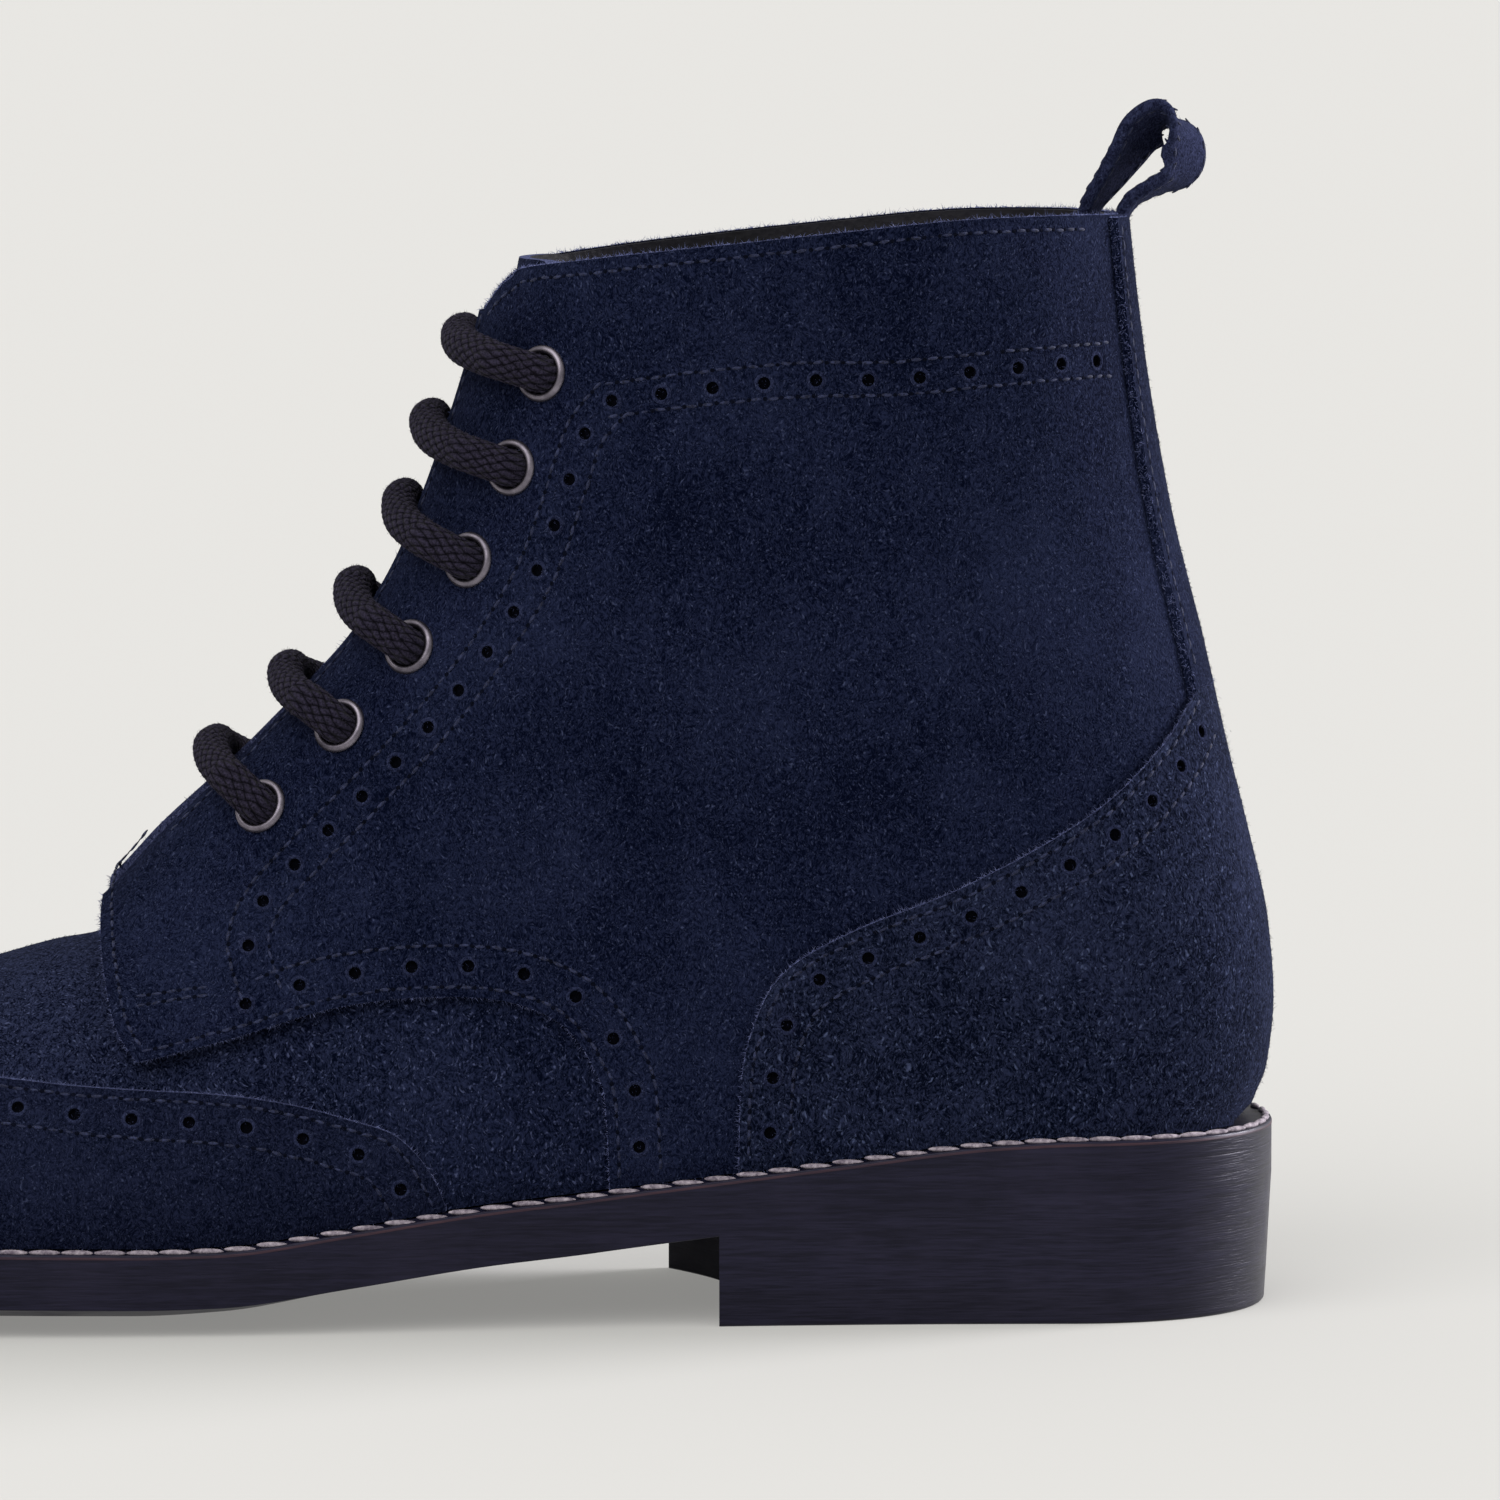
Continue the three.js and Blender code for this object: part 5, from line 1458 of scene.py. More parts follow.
# %% Lay the rows
THROAT_ROW = [
    (0.445, 0.269), (0.438, 0.319), (0.445, 0.36), (0.464, 0.398), (0.502, 0.462), (0.54, 0.53),
    (0.573, 0.605), (0.599, 0.685), (0.615, 0.77), (0.625, 0.826), (0.64, 0.859),
]
BAND_ROW = [(0.64, 0.859), (0.691, 0.861), (0.746, 0.857), (0.804, 0.845), (0.86, 0.843), (0.914, 0.844)]
TACK_ROW = [(0.379, 0.262), (0.396, 0.267), (0.413, 0.271)]
WING_RUN = WING_EDGE[1:8]
LOWER_EDGE = QUARTER_EDGE[:7]
COLLAR_EDGE = QUARTER_EDGE[13:18] + [(0.905, 1.001)]
for side in (-1, 1):
    wing_side = edge_line(WING_RUN, side, CAP_FACE)
    peak = curve_points(WING_PEAK[:4])
    peak_x, peak_y = length_at(peak[::-1, 0]), side * peak[::-1, 1] * BALL_WIDTH
    section, share, _ = from_above(peak_x, swing(length_at(0.262)) + peak_y, CAP_FACE)
    peak_points, _ = skin_frame(section, share, np.full(len(section), side), CAP_FACE)
    whole = np.concatenate([wing_side[0][:-3], peak_points[4:]])
    whole, _ = spaced(whole, 1.0)
    wing_line = settle(whole, CAP_FACE, side)
    sew(wing_line, CAP_FACE, side, -1.5, start=1, end=1)
    sew(wing_line, CAP_FACE, side, -8.2, start=1, end=5)
    punch(wing_line, CAP_FACE, side, -4.9, 9.0, 5, 5, "cap")
    lower = edge_line(LOWER_EDGE, side, QUARTER)
    sew(lower, QUARTER, side, 1.6, start=1, end=2)
    sew(lower, QUARTER, side, 8.3, start=2, end=22)
    punch(lower, QUARTER, side, 5, 9.0, 5, 19)
    counter_line = edge_line(COUNTER_EDGE[:9], side, COUNTER_FACE)
    sew(counter_line, COUNTER_FACE, side, 1.5, start=1, end=2)
    sew(counter_line, COUNTER_FACE, side, 8.2, start=1, end=2)
    punch(counter_line, COUNTER_FACE, side, 4.9, 9.0, 4, 5, "counter")
    throat = edge_line(THROAT_ROW, side, QUARTER)
    sew(throat, QUARTER, side, 3.3)
    sew(throat, QUARTER, side, -3.3)
    punch(throat, QUARTER, side, 0, 7.8, 7.8, 7)
    band = edge_line(BAND_ROW, side, QUARTER)
    sew(band, QUARTER, side, -2.8)
    sew(band, QUARTER, side, 2.5)
    punch(band, QUARTER, side, 0, 8.4, 0, 3)
    collar = edge_line(COLLAR_EDGE, side, QUARTER)
    sew(collar, QUARTER, side, 2.2, start=2, end=3)
    ear = edge_line(QUARTER_EDGE[6:11], side, QUARTER)
    sew(ear, QUARTER, side, 2.0, start=3)
    for lift in (-0.004, 0.005):
        tack = edge_line([(along, up + lift) for along, up in TACK_ROW], side, QUARTER)
        sew(tack, QUARTER, side, 0, 2.4)

print("rows along the edges:", len(rows_of["stitches"]))

# %% Rows along the facing and the backstay
# The facing edge follows the throat, and the backstay's edge follows its own strip.
FACING_STEPS, STAY_STEPS, FACING_INSET, STAY_INSET = 90, 60, 2.1, 1.5
corners = np.array([QUARTER_EDGE[13][:2], QUARTER_EDGE[10][:2]])
facing_ends, _ = locate(length_at(corners[:, 0]), corners[:, 1] * COLLAR_HEIGHT, QUARTER)
section = np.linspace(facing_ends[0] + 0.1, facing_ends[1] - 0.95, FACING_STEPS)
for side in (-1, 1):
    low, high = np.full(FACING_STEPS, 0.4), np.ones(FACING_STEPS)
    for _ in range(30):
        middle_share = (low + high) / 2
        point = skin_points(section, middle_share, side, QUARTER)
        opening = throat_low + (throat_high - throat_low) * np.clip(
            (point[:, 2] - VAMP_HEIGHT) / (SLOT_TOP - VAMP_HEIGHT), 0, 1)
        outside = side * (point[:, 1] - throat_centre) > opening + FACING_INSET
        low, high = np.where(outside, middle_share, low), np.where(outside, high, middle_share)
    facing, _ = skin_frame(section, low, np.full(FACING_STEPS, side), QUARTER)
    places, direction = spaced(facing, STITCH_PITCH)
    places, normal = settle(places, QUARTER, side)
    rows_of["stitches"].append((places, direction, normal))
    height = np.linspace(0.515, 0.985, STAY_STEPS) * COLLAR_HEIGHT
    start, end = np.full(STAY_STEPS, length_at(0.8)), heel_curve(height) + COUNTER_FACE["grow"]
    for _ in range(30):
        x = (start + end) / 2
        point_section, point_share = locate(x, height, COUNTER_FACE)
        point = skin_points(point_section, point_share, side, COUNTER_FACE)
        strip_half = half_strip + BACKSTAY_SPREAD * (1 - point[:, 2] / strip_top)
        wide = side * point[:, 1] > strip_half - STAY_INSET
        start, end = np.where(wide, x, start), np.where(wide, end, x)
    point_section, point_share = locate(start, height, COUNTER_FACE)
    stay, normal = skin_frame(point_section, point_share, np.full(STAY_STEPS, side), COUNTER_FACE)
    places, direction = spaced(stay, STITCH_PITCH)
    places, normal = settle(places, COUNTER_FACE, side)
    rows_of["stitches"].append((places, direction, normal))
print("rows:", len(rows_of["stitches"]), "stitches:", sum(len(r[0]) for r in rows_of["stitches"]),
      "holes:", sum(len(r[1]) for r in rows_of["holes"]))

# %% Small forms copied into joined meshes
def bead(rings=6, around=8):
    """A closed unit bead along x: pointed ends, round in the middle."""
    a = np.linspace(0, np.pi, rings + 1)[1:-1]
    b = 2 * np.pi * np.arange(around) / around
    body = [[np.cos(t), np.sin(t) * np.cos(f), np.sin(t) * np.sin(f)] for t in a for f in b]
    points = np.array([[1, 0, 0]] + body + [[-1, 0, 0]])
    faces = [[0, 1 + j, 1 + (j + 1) % around] for j in range(around)]
    for i in range(rings - 2):
        for j in range(around):
            here, there = 1 + i * around + j, 1 + i * around + (j + 1) % around
            faces.append([here, here + around, there + around, there])
    last = len(points) - 1
    first = last - around
    faces += [[first + j, last, first + (j + 1) % around] for j in range(around)]
    return points, faces


def torus(outer, inner, height, around=20, profile=6):
    """A low ring with a domed section, standing on z = 0."""
    a = 2 * np.pi * np.arange(around) / around
    f = 2 * np.pi * np.arange(profile) / profile
    middle, half = (outer + inner) / 2, (outer - inner) / 2
    points = []
    for u in a:
        for t in f:
            reach = middle + half * np.cos(t)
            points.append([reach * np.cos(u), reach * np.sin(u), height * np.sin(t)])
    faces = []
    for i in range(around):
        for j in range(profile):
            k, m = (i + 1) % around, (j + 1) % profile
            faces.append([i * profile + j, k * profile + j, k * profile + m, i * profile + m])
    return np.array(points), faces


def copied(name, form, places, directions, normals, size, materials, lift=0.0, turn=0.0):
    """Copies a form to every place: its x along the row, its z along the normal."""
    points, faces = form
    directions = directions - normals * (directions * normals).sum(1)[:, None]
    directions = unit(directions)
    across = np.cross(normals, directions)
    ahead = directions * math.cos(turn) + across * math.sin(turn)
    across = np.cross(normals, ahead)
    local = points * np.array(size, float)
    world_points = (
        places[:, None] + lift * normals[:, None] + local[None, :, :1] * ahead[:, None]
        + local[None, :, 1:2] * across[:, None] + local[None, :, 2:] * normals[:, None]
    )
    step = len(points)
    joined = [[v + i * step for v in face] for i in range(len(places)) for face in faces]
    return crisp(mesh_object(name, world_points, joined, NAP, materials), 60)


print("points in a stitch:", len(bead(5, 6)[0]))


# %% Stitches, needle marks and rims
def gathered(rows, column):
    """One column of every row, end to end."""
    return np.concatenate([row[column] for row in rows])


STITCH, DENT, WHOLE = (0.84, 0.27, 0.2), (0.42, 0.38, 0.09), (1, 1, 1)
STRAY_TURN, STRAY_PLACE = 0.07, 0.06
UPRIGHT = np.array([0.0, 0, 1])
sewn, punched = rows_of["stitches"], rows_of["holes"]
all_places, all_directions, all_normals = [gathered(sewn, column) for column in range(3)]
all_directions = all_directions + random.normal(0, STRAY_TURN, all_directions.shape)
all_places = all_places + random.normal(0, STRAY_PLACE, all_places.shape)
stitches = copied(
    "seam_stitches", bead(5, 6), all_places, all_directions, all_normals, STITCH, [navy_thread]
)
# Needle marks are dark flat beads sunk between the stitches: painted shade for the needle holes.
dents_at = np.concatenate([(row[0][1:] + row[0][:-1]) / 2 for row in sewn])
dents_way = np.concatenate([row[1][1:] for row in sewn])
dents_up = np.concatenate([row[2][1:] for row in sewn])
needle_marks = copied(
    "needle_marks", bead(4, 6), dents_at, dents_way, dents_up, DENT, [needle_painted_shade], -0.01
)
hole_places, hole_normals = gathered(punched, 1), gathered(punched, 2)
some_way = np.cross(hole_normals, UPRIGHT)
rim_form = torus(1.62, 1.0, 0.17)
hole_rims = copied("punched_rims", rim_form, hole_places, some_way, hole_normals, WHOLE, [rim_suede])
print("stitch faces:", len(stitches.data.polygons), "marks:", len(needle_marks.data.polygons))

# %% Punch the holes
HOLE_RADIUS = 1.03
HOLE_DEPTH = 0.95


def pins(name, places, normals, radius, above, depth, around=18, index=PIT):
    """Cylinders along the normals, as one joined cutter."""
    a = 2 * np.pi * np.arange(around) / around
    ring = np.stack([np.cos(a), np.sin(a), 0 * a], -1)
    wide_ring = ring * [radius, radius, 0]
    points = np.concatenate([wide_ring + [0, 0, above], wide_ring - [0, 0, depth]])
    faces = [list(range(around)), list(range(2 * around - 1, around - 1, -1))]
    faces += [[(j + 1) % around, j, j + around, (j + 1) % around + around] for j in range(around)]
    way = np.cross(normals, UPRIGHT)
    thing = copied(name, (points, faces), places, way, normals, WHOLE, [])
    thing.data.polygons.foreach_set("material_index", np.full(len(thing.data.polygons), index, np.int32))
    return thing


# The punch cutters carry the pit slot, so the hole walls and floors take the near-black painted-shade
# material.
for owner, piece in (("quarters", quarters), ("cap", wing_cap), ("counter", counter)):
    own = [row for row in punched if row[0] == owner]
    places, normals = gathered(own, 1), gathered(own, 2)
    punches = pins("punches", places, normals, HOLE_RADIUS, 1.2, HOLE_DEPTH)
    cut(piece, punches, "DIFFERENCE")
    discard(punches)
    crisp(piece)
    print(owner, "holes:", len(places), "faces:", len(piece.data.polygons))

# %% [markdown]
# Eyelets and lace
#
# Each eyelet is a turned ring of dark nickel: a rolled flange on the leather and a tube through
# it. The lace is one woolly braid. It crosses straight over at each pair and climbs hidden under
# a facing to the next, so its whole route is one line. Six loose bars would be easier, but they
# would end in mid-air inside the eyelets. The braid is relief on a tube: two families of strands
# that pass over and under each other.

# %% Eyelets
EYELET_TUBE = 7.6
WALL = QUARTER_SKIN + LINING_DEPTH
seat_x, seat_h = length_at(EYELET_PLACES[:, 0]), EYELET_PLACES[:, 1] * COLLAR_HEIGHT
seat_section, seat_share = locate(seat_x, seat_h, QUARTER)
seats = {side: skin_frame(seat_section, seat_share, np.full(PAIRS, side), QUARTER) for side in (-1, 1)}
seat_places = np.concatenate([seats[-1][0], seats[1][0]])
seat_normals = np.concatenate([seats[-1][1], seats[1][1]])
holes = pins("eyelet_holes", seat_places, seat_normals, EYELET_TUBE / 2 + 0.1, 4, 5, 32, CUT)
cut(quarters, holes, "DIFFERENCE")
cut(lining, holes, "DIFFERENCE")
crisp(quarters)
crisp(lining)
discard(holes)
RING_PROFILE = table(
    "radius height",
    (3.25, -2.3), (3.25, 0.1), (3.3, 0.42), (3.48, 0.68), (3.76, 0.8), (4.08, 0.76), (4.36, 0.58),
    (4.55, 0.3), (4.6, 0.03), (3.8, 0.03), (3.8, -2.3),
)
RING_STEPS = 56
ring_turn = 2 * np.pi * np.arange(RING_STEPS) / RING_STEPS
radius, height = RING_PROFILE["radius"], RING_PROFILE["height"]
ring_form = np.stack([
    np.cos(ring_turn)[:, None] * radius, np.sin(ring_turn)[:, None] * radius,
    0 * ring_turn[:, None] + height,
], -1).reshape(-1, 3)
size = len(radius)
ring_faces = []
for i in range(RING_STEPS):
    here, there = i * size, (i + 1) % RING_STEPS * size
    for j in range(size):
        k = (j + 1) % size
        ring_faces.append([here + j, there + j, there + k, here + k])
eyelet_form = (ring_form, ring_faces)
seat_way = np.cross(seat_normals, UPRIGHT)
eyelets = copied("eyelet_rings", eyelet_form, seat_places, seat_way, seat_normals, WHOLE, [nickel])
print("eyelet faces:", len(eyelets.data.polygons))

# %% Route of the lace
LACE_RADIUS = 3.1
UNDER = -WALL - 1.35
BARS = table("rise dip", (0.6, 0), (0.4, 0), (4.2, 0.4), (6.5, 1.5), (4.5, 1.2), (4.5, 2.4))
FLAT_LACE = 0.36
ridge_of_seat = []
for x, h, rise in zip(seat_x, seat_h, BARS["rise"]):
    trial = np.arange(1, EAR_SECTION, 0.02)
    along, up = ridge_normal(trial)
    off = np.abs((h - ridge_height(trial)) * along - (x - ridge_length(trial)) * up)
    nearest = float(trial[np.argmin(off)])
    before, after = nearest - 0.5, nearest + 0.5
    run, climb = ridge_length(after) - ridge_length(before), ridge_height(after) - ridge_height(before)
    ridge_of_seat.append(nearest - rise / math.hypot(run, climb))


def route_point(section, share, side, distance):
    spot = [np.array([value]) for value in (section, share, side)]
    place, normal = skin_frame(*spot, over(QUARTER, distance))
    return place[0], normal[0]


def half_bar(k, side):
    """From inside the eyelet, up through it and over the facing to the middle."""
    centre, normal = seats[side][0][k], seats[side][1][k]
    stations = [
        (centre + normal * UNDER, normal, FLAT_LACE), (centre - normal * 0.8, normal, 1.0),
        (centre + normal * 1.3, normal, 1.0),
    ]
    for t in np.linspace(0.16, 0.84, 8):
        share = seat_share[k] + (1 - seat_share[k]) * math.sin(math.pi * t / 2)
        section = seat_section[k] + (ridge_of_seat[k] - seat_section[k]) * t
        over_edge = 0.9 * (1 - float(smooth(0.2, 0.7, t)))
        dip = (BARS["dip"][k] + 0.3 + 0.3 * side) * float(smooth(0.45, 1, t))
        clear = 0.3 + over_edge - dip
        place, up = route_point(section, share, side, LACE_RADIUS + clear)
        stations.append((place, up, 1.0))
    return stations


def hidden_run(k, m, side, shift=0.0, steps=5):
    """Under the facing from one eyelet to another, moved back by a shift of the share."""
    run = []
    for t in np.linspace(0, 1, steps + 2)[1:-1]:
        section = seat_section[k] + (seat_section[m] - seat_section[k]) * t
        share = seat_share[k] + (seat_share[m] - seat_share[k]) * t - shift
        place, up = route_point(section, share, side, UNDER)
        run.append((place, up, FLAT_LACE))
    return run


print("bars cross the ridge at", [round(float(place), 2) for place in ridge_of_seat])

# %% Join the route
route = hidden_run(PAIRS - 1, 0, -1, 0.1, 10)
side = -1
for k in range(PAIRS):
    route += half_bar(k, side) + half_bar(k, -side)[::-1]
    side = -side
    if k < PAIRS - 1:
        route += hidden_run(k, k + 1, side, 0.0, 2)
stations = np.arange(len(route), dtype=float)
knots = np.array([step[0] for step in route])
gaps = np.concatenate([[0], np.cumsum(np.linalg.norm(np.diff(knots, axis=0), axis=1))])
lace_length = gaps[-1]
fine = np.arange(0, lace_length, 0.37)
at_station = np.interp(fine, gaps, stations)
line = flow(knots)(at_station)
lean = unit(flow(np.array([step[1] for step in route]))(at_station))
squash = np.interp(at_station, stations, [step[2] for step in route])
print("lace length in the boot:", round(float(lace_length)), "mm; samples:", len(line))

# %% Braid the lace
STRANDS = 12
STRAND_STEP = 2.3
BRAID_DEPTH = 0.32
AROUND_LACE = 56
tangents = unit(np.gradient(line, axis=0))
first = np.cross(tangents[0], lean[0])
frames = [first / np.linalg.norm(first)]
for i in range(1, len(line)):
    carried = frames[-1] - tangents[i] * np.dot(frames[-1], tangents[i])
    frames.append(carried / np.linalg.norm(carried))
frames = np.array(frames)
others = np.cross(tangents, frames)
turn = 2 * np.pi * np.arange(AROUND_LACE) / AROUND_LACE
run_length = np.concatenate([[0], np.cumsum(np.linalg.norm(np.diff(line, axis=0), axis=1))])
right = STRANDS * turn[None] / (2 * np.pi) + run_length[:, None] / STRAND_STEP
left = STRANDS * turn[None] / (2 * np.pi) - run_length[:, None] / STRAND_STEP


def strand(across_it, along_it):
    bulge = np.sqrt(np.maximum(0, 1 - (2 * (across_it % 1) - 1) ** 2))
    return bulge * (0.55 + 0.45 * np.sin(np.pi * (along_it % 1)))


on_top = (np.floor(right) + np.floor(left)) % 2 == 0
braid = np.where(on_top, strand(right, left), strand(left, right))
wobble = 0.12 * np.sin(run_length / 7.3) + 0.08 * np.sin(run_length / 3.1 + 1)
radii = LACE_RADIUS - BRAID_DEPTH + BRAID_DEPTH * braid + wobble[:, None] * 0.5
ring = np.cos(turn)[None, :, None] * frames[:, None] + np.sin(turn)[None, :, None] * others[:, None]
offset = radii[:, :, None] * ring
depth_part = (offset * lean[:, None]).sum(-1, keepdims=True)
offset = offset - lean[:, None] * depth_part * (1 - squash)[:, None, None]
tube = line[:, None] + offset
faces = tube_faces(len(line), AROUND_LACE)
lace = crisp(mesh_object("lace_braid", tube, faces, NAP, [lace_cotton]), 80)
corner = np.empty(len(lace.data.loops), np.int32)
lace.data.loops.foreach_get("vertex_index", corner)
around_it = corner % AROUND_LACE / AROUND_LACE
quads = around_it[:4 * (len(faces) - 2)].reshape(-1, 4)
quads[(quads.max(1) - quads.min(1) > 0.5)[:, None] & (quads < 0.5)] += 1
plait = lace.data.uv_layers.new(name="along_lace")
drawn = np.stack([around_it * STRANDS, run_length[corner // AROUND_LACE] / STRAND_STEP], -1)
plait.data.foreach_set("uv", drawn.astype(np.float32).ravel())
print("lace faces:", len(faces))

# %% [markdown]
# Welt stitches
#
# A thick pale thread locks the welt to the outsole and shows on the welt's top edge all round the
# shoe, heel included. Each stitch is a fat bead, a little slanted, so that the row looks like
# laid rope.

# %% Welt stitches
WELT_PITCH = 5.2
WELT_STITCH = (2.6, 0.6, 0.48)
x, half = outline_ring(SOLE_MARGIN - 1.0, 1200)
welt_row = np.stack([x, swing(x) + half, welt_top(x) + 0.2], -1)
welt_row = np.concatenate([welt_row, welt_row[:1]])
places, direction = spaced(welt_row, WELT_PITCH)
up = np.tile(UPRIGHT, (len(places) - 1, 1))
welt_stitches = copied(
    "welt_stitches", bead(8, 10), places[:-1], direction[:-1], up, WELT_STITCH, [welt_thread], 0.02, -0.1
)
print("welt stitches:", len(places) - 1)

# %% [markdown]
# Pull loop
#
# A strip of suede folded double and sewn in behind the collar. It leans back and has twisted a
# little, so its outer face shows from the side. It is a flat strap swept along a line of its own
# sizes, with a turn for each row, and stitched along both edges.

# %% Build the pull loop
LOOP_HEIGHT, LOOP_REACH, LOOP_WIDTH, LOOP_THICKNESS = 15, 13, 12, 2.1
LOOP = table(
    "out up turn tilt",
    (-0.42, -0.62, 0, 0), (-0.44, -0.15, 6, 0), (-0.33, 0.12, 12, -4), (-0.12, 0.38, 18, -8),
    (0.09, 0.65, 24, -14), (0.28, 0.89, 30, -22), (0.54, 1.0, 34, -26), (0.74, 0.85, 35, -20),
    (0.78, 0.6, 34, -10), (0.67, 0.42, 28, -4), (0.42, 0.31, 20, 0), (0.17, 0.19, 10, 0),
    (0.03, 0.04, 4, 0), (-0.03, -0.14, 0, 0), (-0.03, -0.38, 0, 0),
)
steps = 12 * (len(LOOP["out"]) - 1)
on_loop = np.linspace(0, len(LOOP["out"]) - 1, steps + 1)
back_wall = float(heel_curve(COLLAR_HEIGHT))
middle = flow(np.stack([
    back_wall + LOOP["out"] * LOOP_REACH + QUARTER_SKIN, 0 * LOOP["out"],
    collar_height + LOOP["up"] * LOOP_HEIGHT,
], -1))(on_loop)
tangent = unit(np.gradient(middle, axis=0))
twist = np.radians(flow(LOOP["turn"])(on_loop))
tilt = np.radians(flow(LOOP["tilt"])(on_loop))
width = np.stack([np.sin(twist) * np.cos(tilt), np.cos(twist) * np.cos(tilt), np.sin(tilt)], -1)
face = unit(np.cross(tangent, width))
width = np.cross(face, tangent)
rim = np.radians(np.linspace(-90, 90, 7))
half_thick = LOOP_THICKNESS / 2
edge_y = LOOP_WIDTH / 2 - half_thick * (1 - np.cos(rim))
flat_y = np.linspace(-0.4, 0.4, 7) * LOOP_WIDTH
profile = list(zip(edge_y, half_thick * np.sin(rim))) + [(y, half_thick) for y in flat_y[::-1]]
profile += list(zip(-edge_y, -half_thick * np.sin(rim))) + [(y, -half_thick) for y in flat_y]
profile = np.array(profile)
cup = 0.5 * (1 - (2 * profile[:, 0] / LOOP_WIDTH) ** 2)
in_width = profile[None, :, :1] * width[:, None]
in_depth = (profile[None, :, 1:] + cup[None, :, None]) * face[:, None]
strap = middle[:, None] + in_width + in_depth
faces = tube_faces(steps + 1, len(profile))
pull_loop = crisp(mesh_object("pull_loop_strap", strap, faces, NAP, [loop_suede]), 50)
outward(pull_loop)
strap_rows = []
for edge in (-1, 1):
    for front in (-1, 1):
        at = middle + width * edge * (LOOP_WIDTH / 2 - 1.5) + face * front * half_thick + face * 0.22
        places, direction = spaced(at, 2.4)
        nearest = np.array([np.argmin(np.linalg.norm(at - p, axis=1)) for p in places])
        strap_rows.append((places, direction, face[nearest] * front))
loop_stitches = copied(
    "loop_stitches", bead(5, 6), *[np.concatenate([row[i] for row in strap_rows]) for i in range(3)],
    (0.85, 0.28, 0.2), [navy_thread],
)
print("loop faces:", len(pull_loop.data.polygons))

# %% [markdown]
# Loose nap
#
# A suede surface is never bare: short fibres stand off it, and a knife leaves a fringe along
# every cut edge. Shaders can't break a silhouette, so these are real hairs, each a thin closed
# spike, placed by area on the finished panels from a seeded generator and joined per piece.

# %% Places and hairs
def scattered(piece, index, count, rng):
    """Random places on the faces of one material, with their normals."""
    mesh = piece.data
    mesh.calc_loop_triangles()
    tris = np.empty(len(mesh.loop_triangles) * 3, np.int32)
    mesh.loop_triangles.foreach_get("vertices", tris)
    tris = tris.reshape(-1, 3)
    slots = np.empty(len(mesh.loop_triangles), np.int32)
    mesh.loop_triangles.foreach_get("material_index", slots)
    points = np.empty(len(mesh.vertices) * 3, np.float32)
    mesh.vertices.foreach_get("co", points)
    points = points.reshape(-1, 3).astype(float) / MM - PLACE
    tris = tris[slots == index]
    a, b, c = points[tris[:, 0]], points[tris[:, 1]], points[tris[:, 2]]
    normal = np.cross(b - a, c - a)
    area = np.linalg.norm(normal, axis=1)
    keep = area > 1e-6
    a, b, c, normal, area = a[keep], b[keep], c[keep], normal[keep], area[keep]
    pick = rng.choice(len(area), count, p=area / area.sum())
    u, v = rng.random(count), rng.random(count)
    fold = u + v > 1
    u, v = np.where(fold, 1 - u, u), np.where(fold, 1 - v, v)
    places = a[pick] + (b - a)[pick] * u[:, None] + (c - a)[pick] * v[:, None]
    return places, normal[pick] / area[pick][:, None]


def hairs(name, places, normals, length, width, rise, rng, material):
    """Closed three-sided spikes that lean over at random."""
    count = len(places)
    way = rng.normal(size=(count, 3))
    way -= normals * (way * normals).sum(1)[:, None]
    way = unit(way)
    lift = rise * rng.random(count)
    reach = length * (0.4 + 1.2 * rng.random(count) ** 2)
    tip = places + (way * np.cos(lift)[:, None] + normals * np.sin(lift)[:, None]) * reach[:, None]
    across = np.cross(normals, way) * width / 2
    base = places - normals * 0.03
    corners = np.stack([base - across, base + across, base + normals * width, tip], 1)
    faces = [[0, 2, 1], [0, 1, 3], [1, 2, 3], [2, 0, 3]]
    start = 4 * np.arange(count)
    joined = (np.array(faces)[None] + start[:, None, None]).reshape(-1, 3)
    return mesh_object(name, corners, joined.tolist(), NAP, [material])


print("faces in a hair:", 4)

# %% Grow the loose nap
nap_pieces = []
for name, piece, count, long in (
    ("quarter_nap", quarters, 18000, 0.5), ("vamp_nap", vamp, 8000, 0.6),
    ("cap_nap", wing_cap, 9000, 0.55), ("counter_nap", counter, 9000, 0.75),
    ("stay_nap", backstay, 2500, 0.6), ("loop_nap", pull_loop, 1800, 0.5),
):
    places, normals = scattered(piece, NAP, count, random)
    nap_pieces.append(hairs(name, places, normals, long, 0.075, 0.9, random, loose_nap))
# The fringe on the cut edges is pale: partly its own fibre, partly painted highlight.
for name, piece, count in (
    ("quarter_fringe", quarters, 9000), ("cap_fringe", wing_cap, 3000),
    ("counter_fringe", counter, 3600), ("stay_fringe", backstay, 1800),
):
    places, normals = scattered(piece, CUT, count, random)
    nap_pieces.append(hairs(name, places, normals, 0.8, 0.11, 1.4, random, edge_nap))
# The nap is roughed up and paler where the rows were sewn and punched.
PER_HOLE, ROUGHED = 90, 3.2
around_holes = np.repeat(np.arange(len(hole_places)), PER_HOLE)
normals = hole_normals[around_holes]
strewn = random.normal(0, ROUGHED, normals.shape)
strewn -= normals * (strewn * normals).sum(1)[:, None]
places = hole_places[around_holes] + strewn
nap_pieces.append(hairs("row_nap", places, normals, 0.45, 0.08, 0.8, random, loose_nap))
places, normals = scattered(lace, NAP, 14000, random)
lace_fuzz = hairs("lace_fuzz", places, normals, 0.5, 0.07, 1.2, random, lace_hair)
print("hairs:", sum(len(piece.data.polygons) for piece in nap_pieces) // 4)

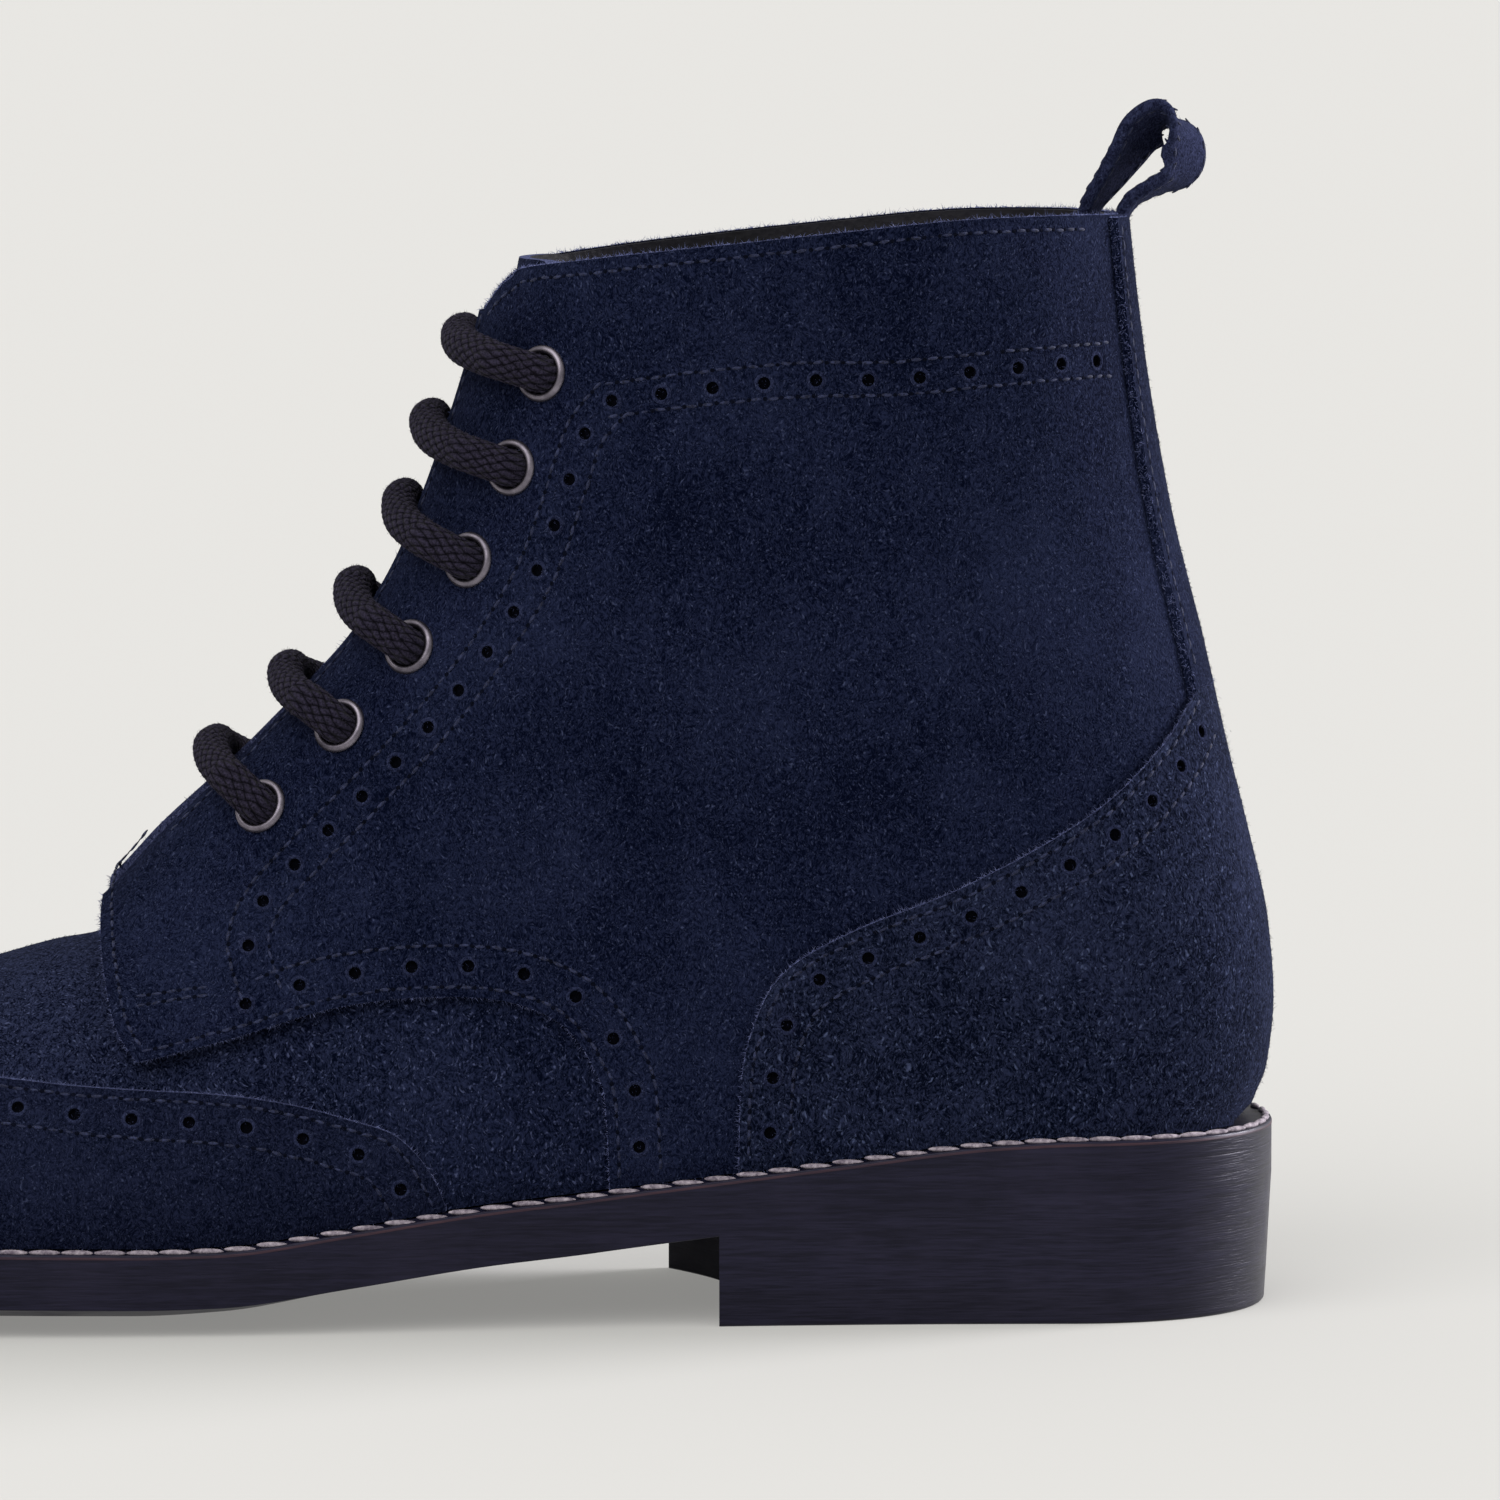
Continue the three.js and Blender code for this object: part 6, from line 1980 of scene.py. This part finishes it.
# %% Put the finishes back in order
dressed(vamp, vamp_suede, cut_edge_painted_highlight, lining_leather)
dressed(quarters, quarter_suede, cut_edge_painted_highlight, flesh_side, hole_painted_shade)
dressed(lining, flesh_side, lining_leather, lining_leather)
dressed(wing_cap, cap_suede, cut_edge_painted_highlight, flesh_side, hole_painted_shade)
dressed(counter, counter_suede, cut_edge_painted_highlight, flesh_side, hole_painted_shade)
dressed(backstay, quarter_suede, quarter_suede, flesh_side)
dressed(tongue, quarter_suede, cut_edge_painted_highlight, lining_leather)
print("finishes in order")

for piece, slot in (
    (vamp, "suede"), (quarters, "suede"), (lining, "lining"), (wing_cap, "suede"),
    (counter, "suede"), (backstay, "suede"), (tongue, "suede"), (outsole, "sole_edge"),
    (welt, "sole_edge"), (welt_line, "sole_edge"), (heel_stack, "sole_edge"),
    (top_piece, "top_piece"), (pull_loop, "suede"), (stitches, "suede"), (needle_marks, "suede"),
    (hole_rims, "suede"), (eyelets, "eyelet"), (lace, "lace"), (lace_fuzz, "lace"),
    (welt_stitches, "lace"), (loop_stitches, "suede"), *[(piece, "suede") for piece in nap_pieces],
):
    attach(piece, "root")
for piece, node in (
    (vamp, "upper"), (quarters, "upper"), (lining, "upper"), (wing_cap, "wing_cap"),
    (counter, "heel_counter"), (backstay, "backstay"), (tongue, "tongue"), (outsole, "outsole"),
    (welt, "welt"), (heel_stack, "heel_stack"), (top_piece, "heel_top_piece"), (pull_loop, "pull_loop"),
):
    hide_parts(node)
for k in range(1, 7):
    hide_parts(f"lace_bar_{k}")
    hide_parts(f"eyelet_outer_{k}", f"eyelet_inner_{k}")
discard(
    throat_slot, quarter_area, lining_area, vamp_area, counter_area, above_counter, wing_area, strip,
    under_welt, bpy.data.objects["peak"],
)
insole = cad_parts["insole"]
insole.data.materials.clear()
insole.data.materials.append(lining_leather)
triangles = {
    thing.name: len(thing.data.loops) - 2 * len(thing.data.polygons)
    for thing in bpy.data.objects if thing.type == "MESH"
}
print("triangles:", sum(triangles.values()), "largest:", max(triangles.items(), key=lambda item: item[1]))

# %% Floor
OWN_LIGHT = 0.3
FLOOR_GREY = (0.397, 0.397, 0.387, 1)
floor_material, nodes, surface = new_material("studio_floor")
surface.inputs["Base Color"].default_value = FLOOR_GREY
surface.inputs["Emission Color"].default_value = PAPER
surface.inputs["Emission Strength"].default_value = OWN_LIGHT
surface.inputs["Roughness"].default_value = 1.0
surface.inputs["Specular IOR Level"].default_value = 0.0
HALF_FLOOR = 90000
corners = [(HALF_FLOOR * x, HALF_FLOOR * y, 0) for x, y in ((-1, -1), (1, -1), (1, 1), (-1, 1))]
floor = mesh_object("floor", corners, [[0, 1, 2, 3]], 0, [floor_material])
floor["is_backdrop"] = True
print("floor reaches", HALF_FLOOR * MM, "m from the middle")

sizes = {"cad": cad_box, "visual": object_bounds()}
{key: [list(map(float, corner)) for corner in value] for key, value in sizes.items()}
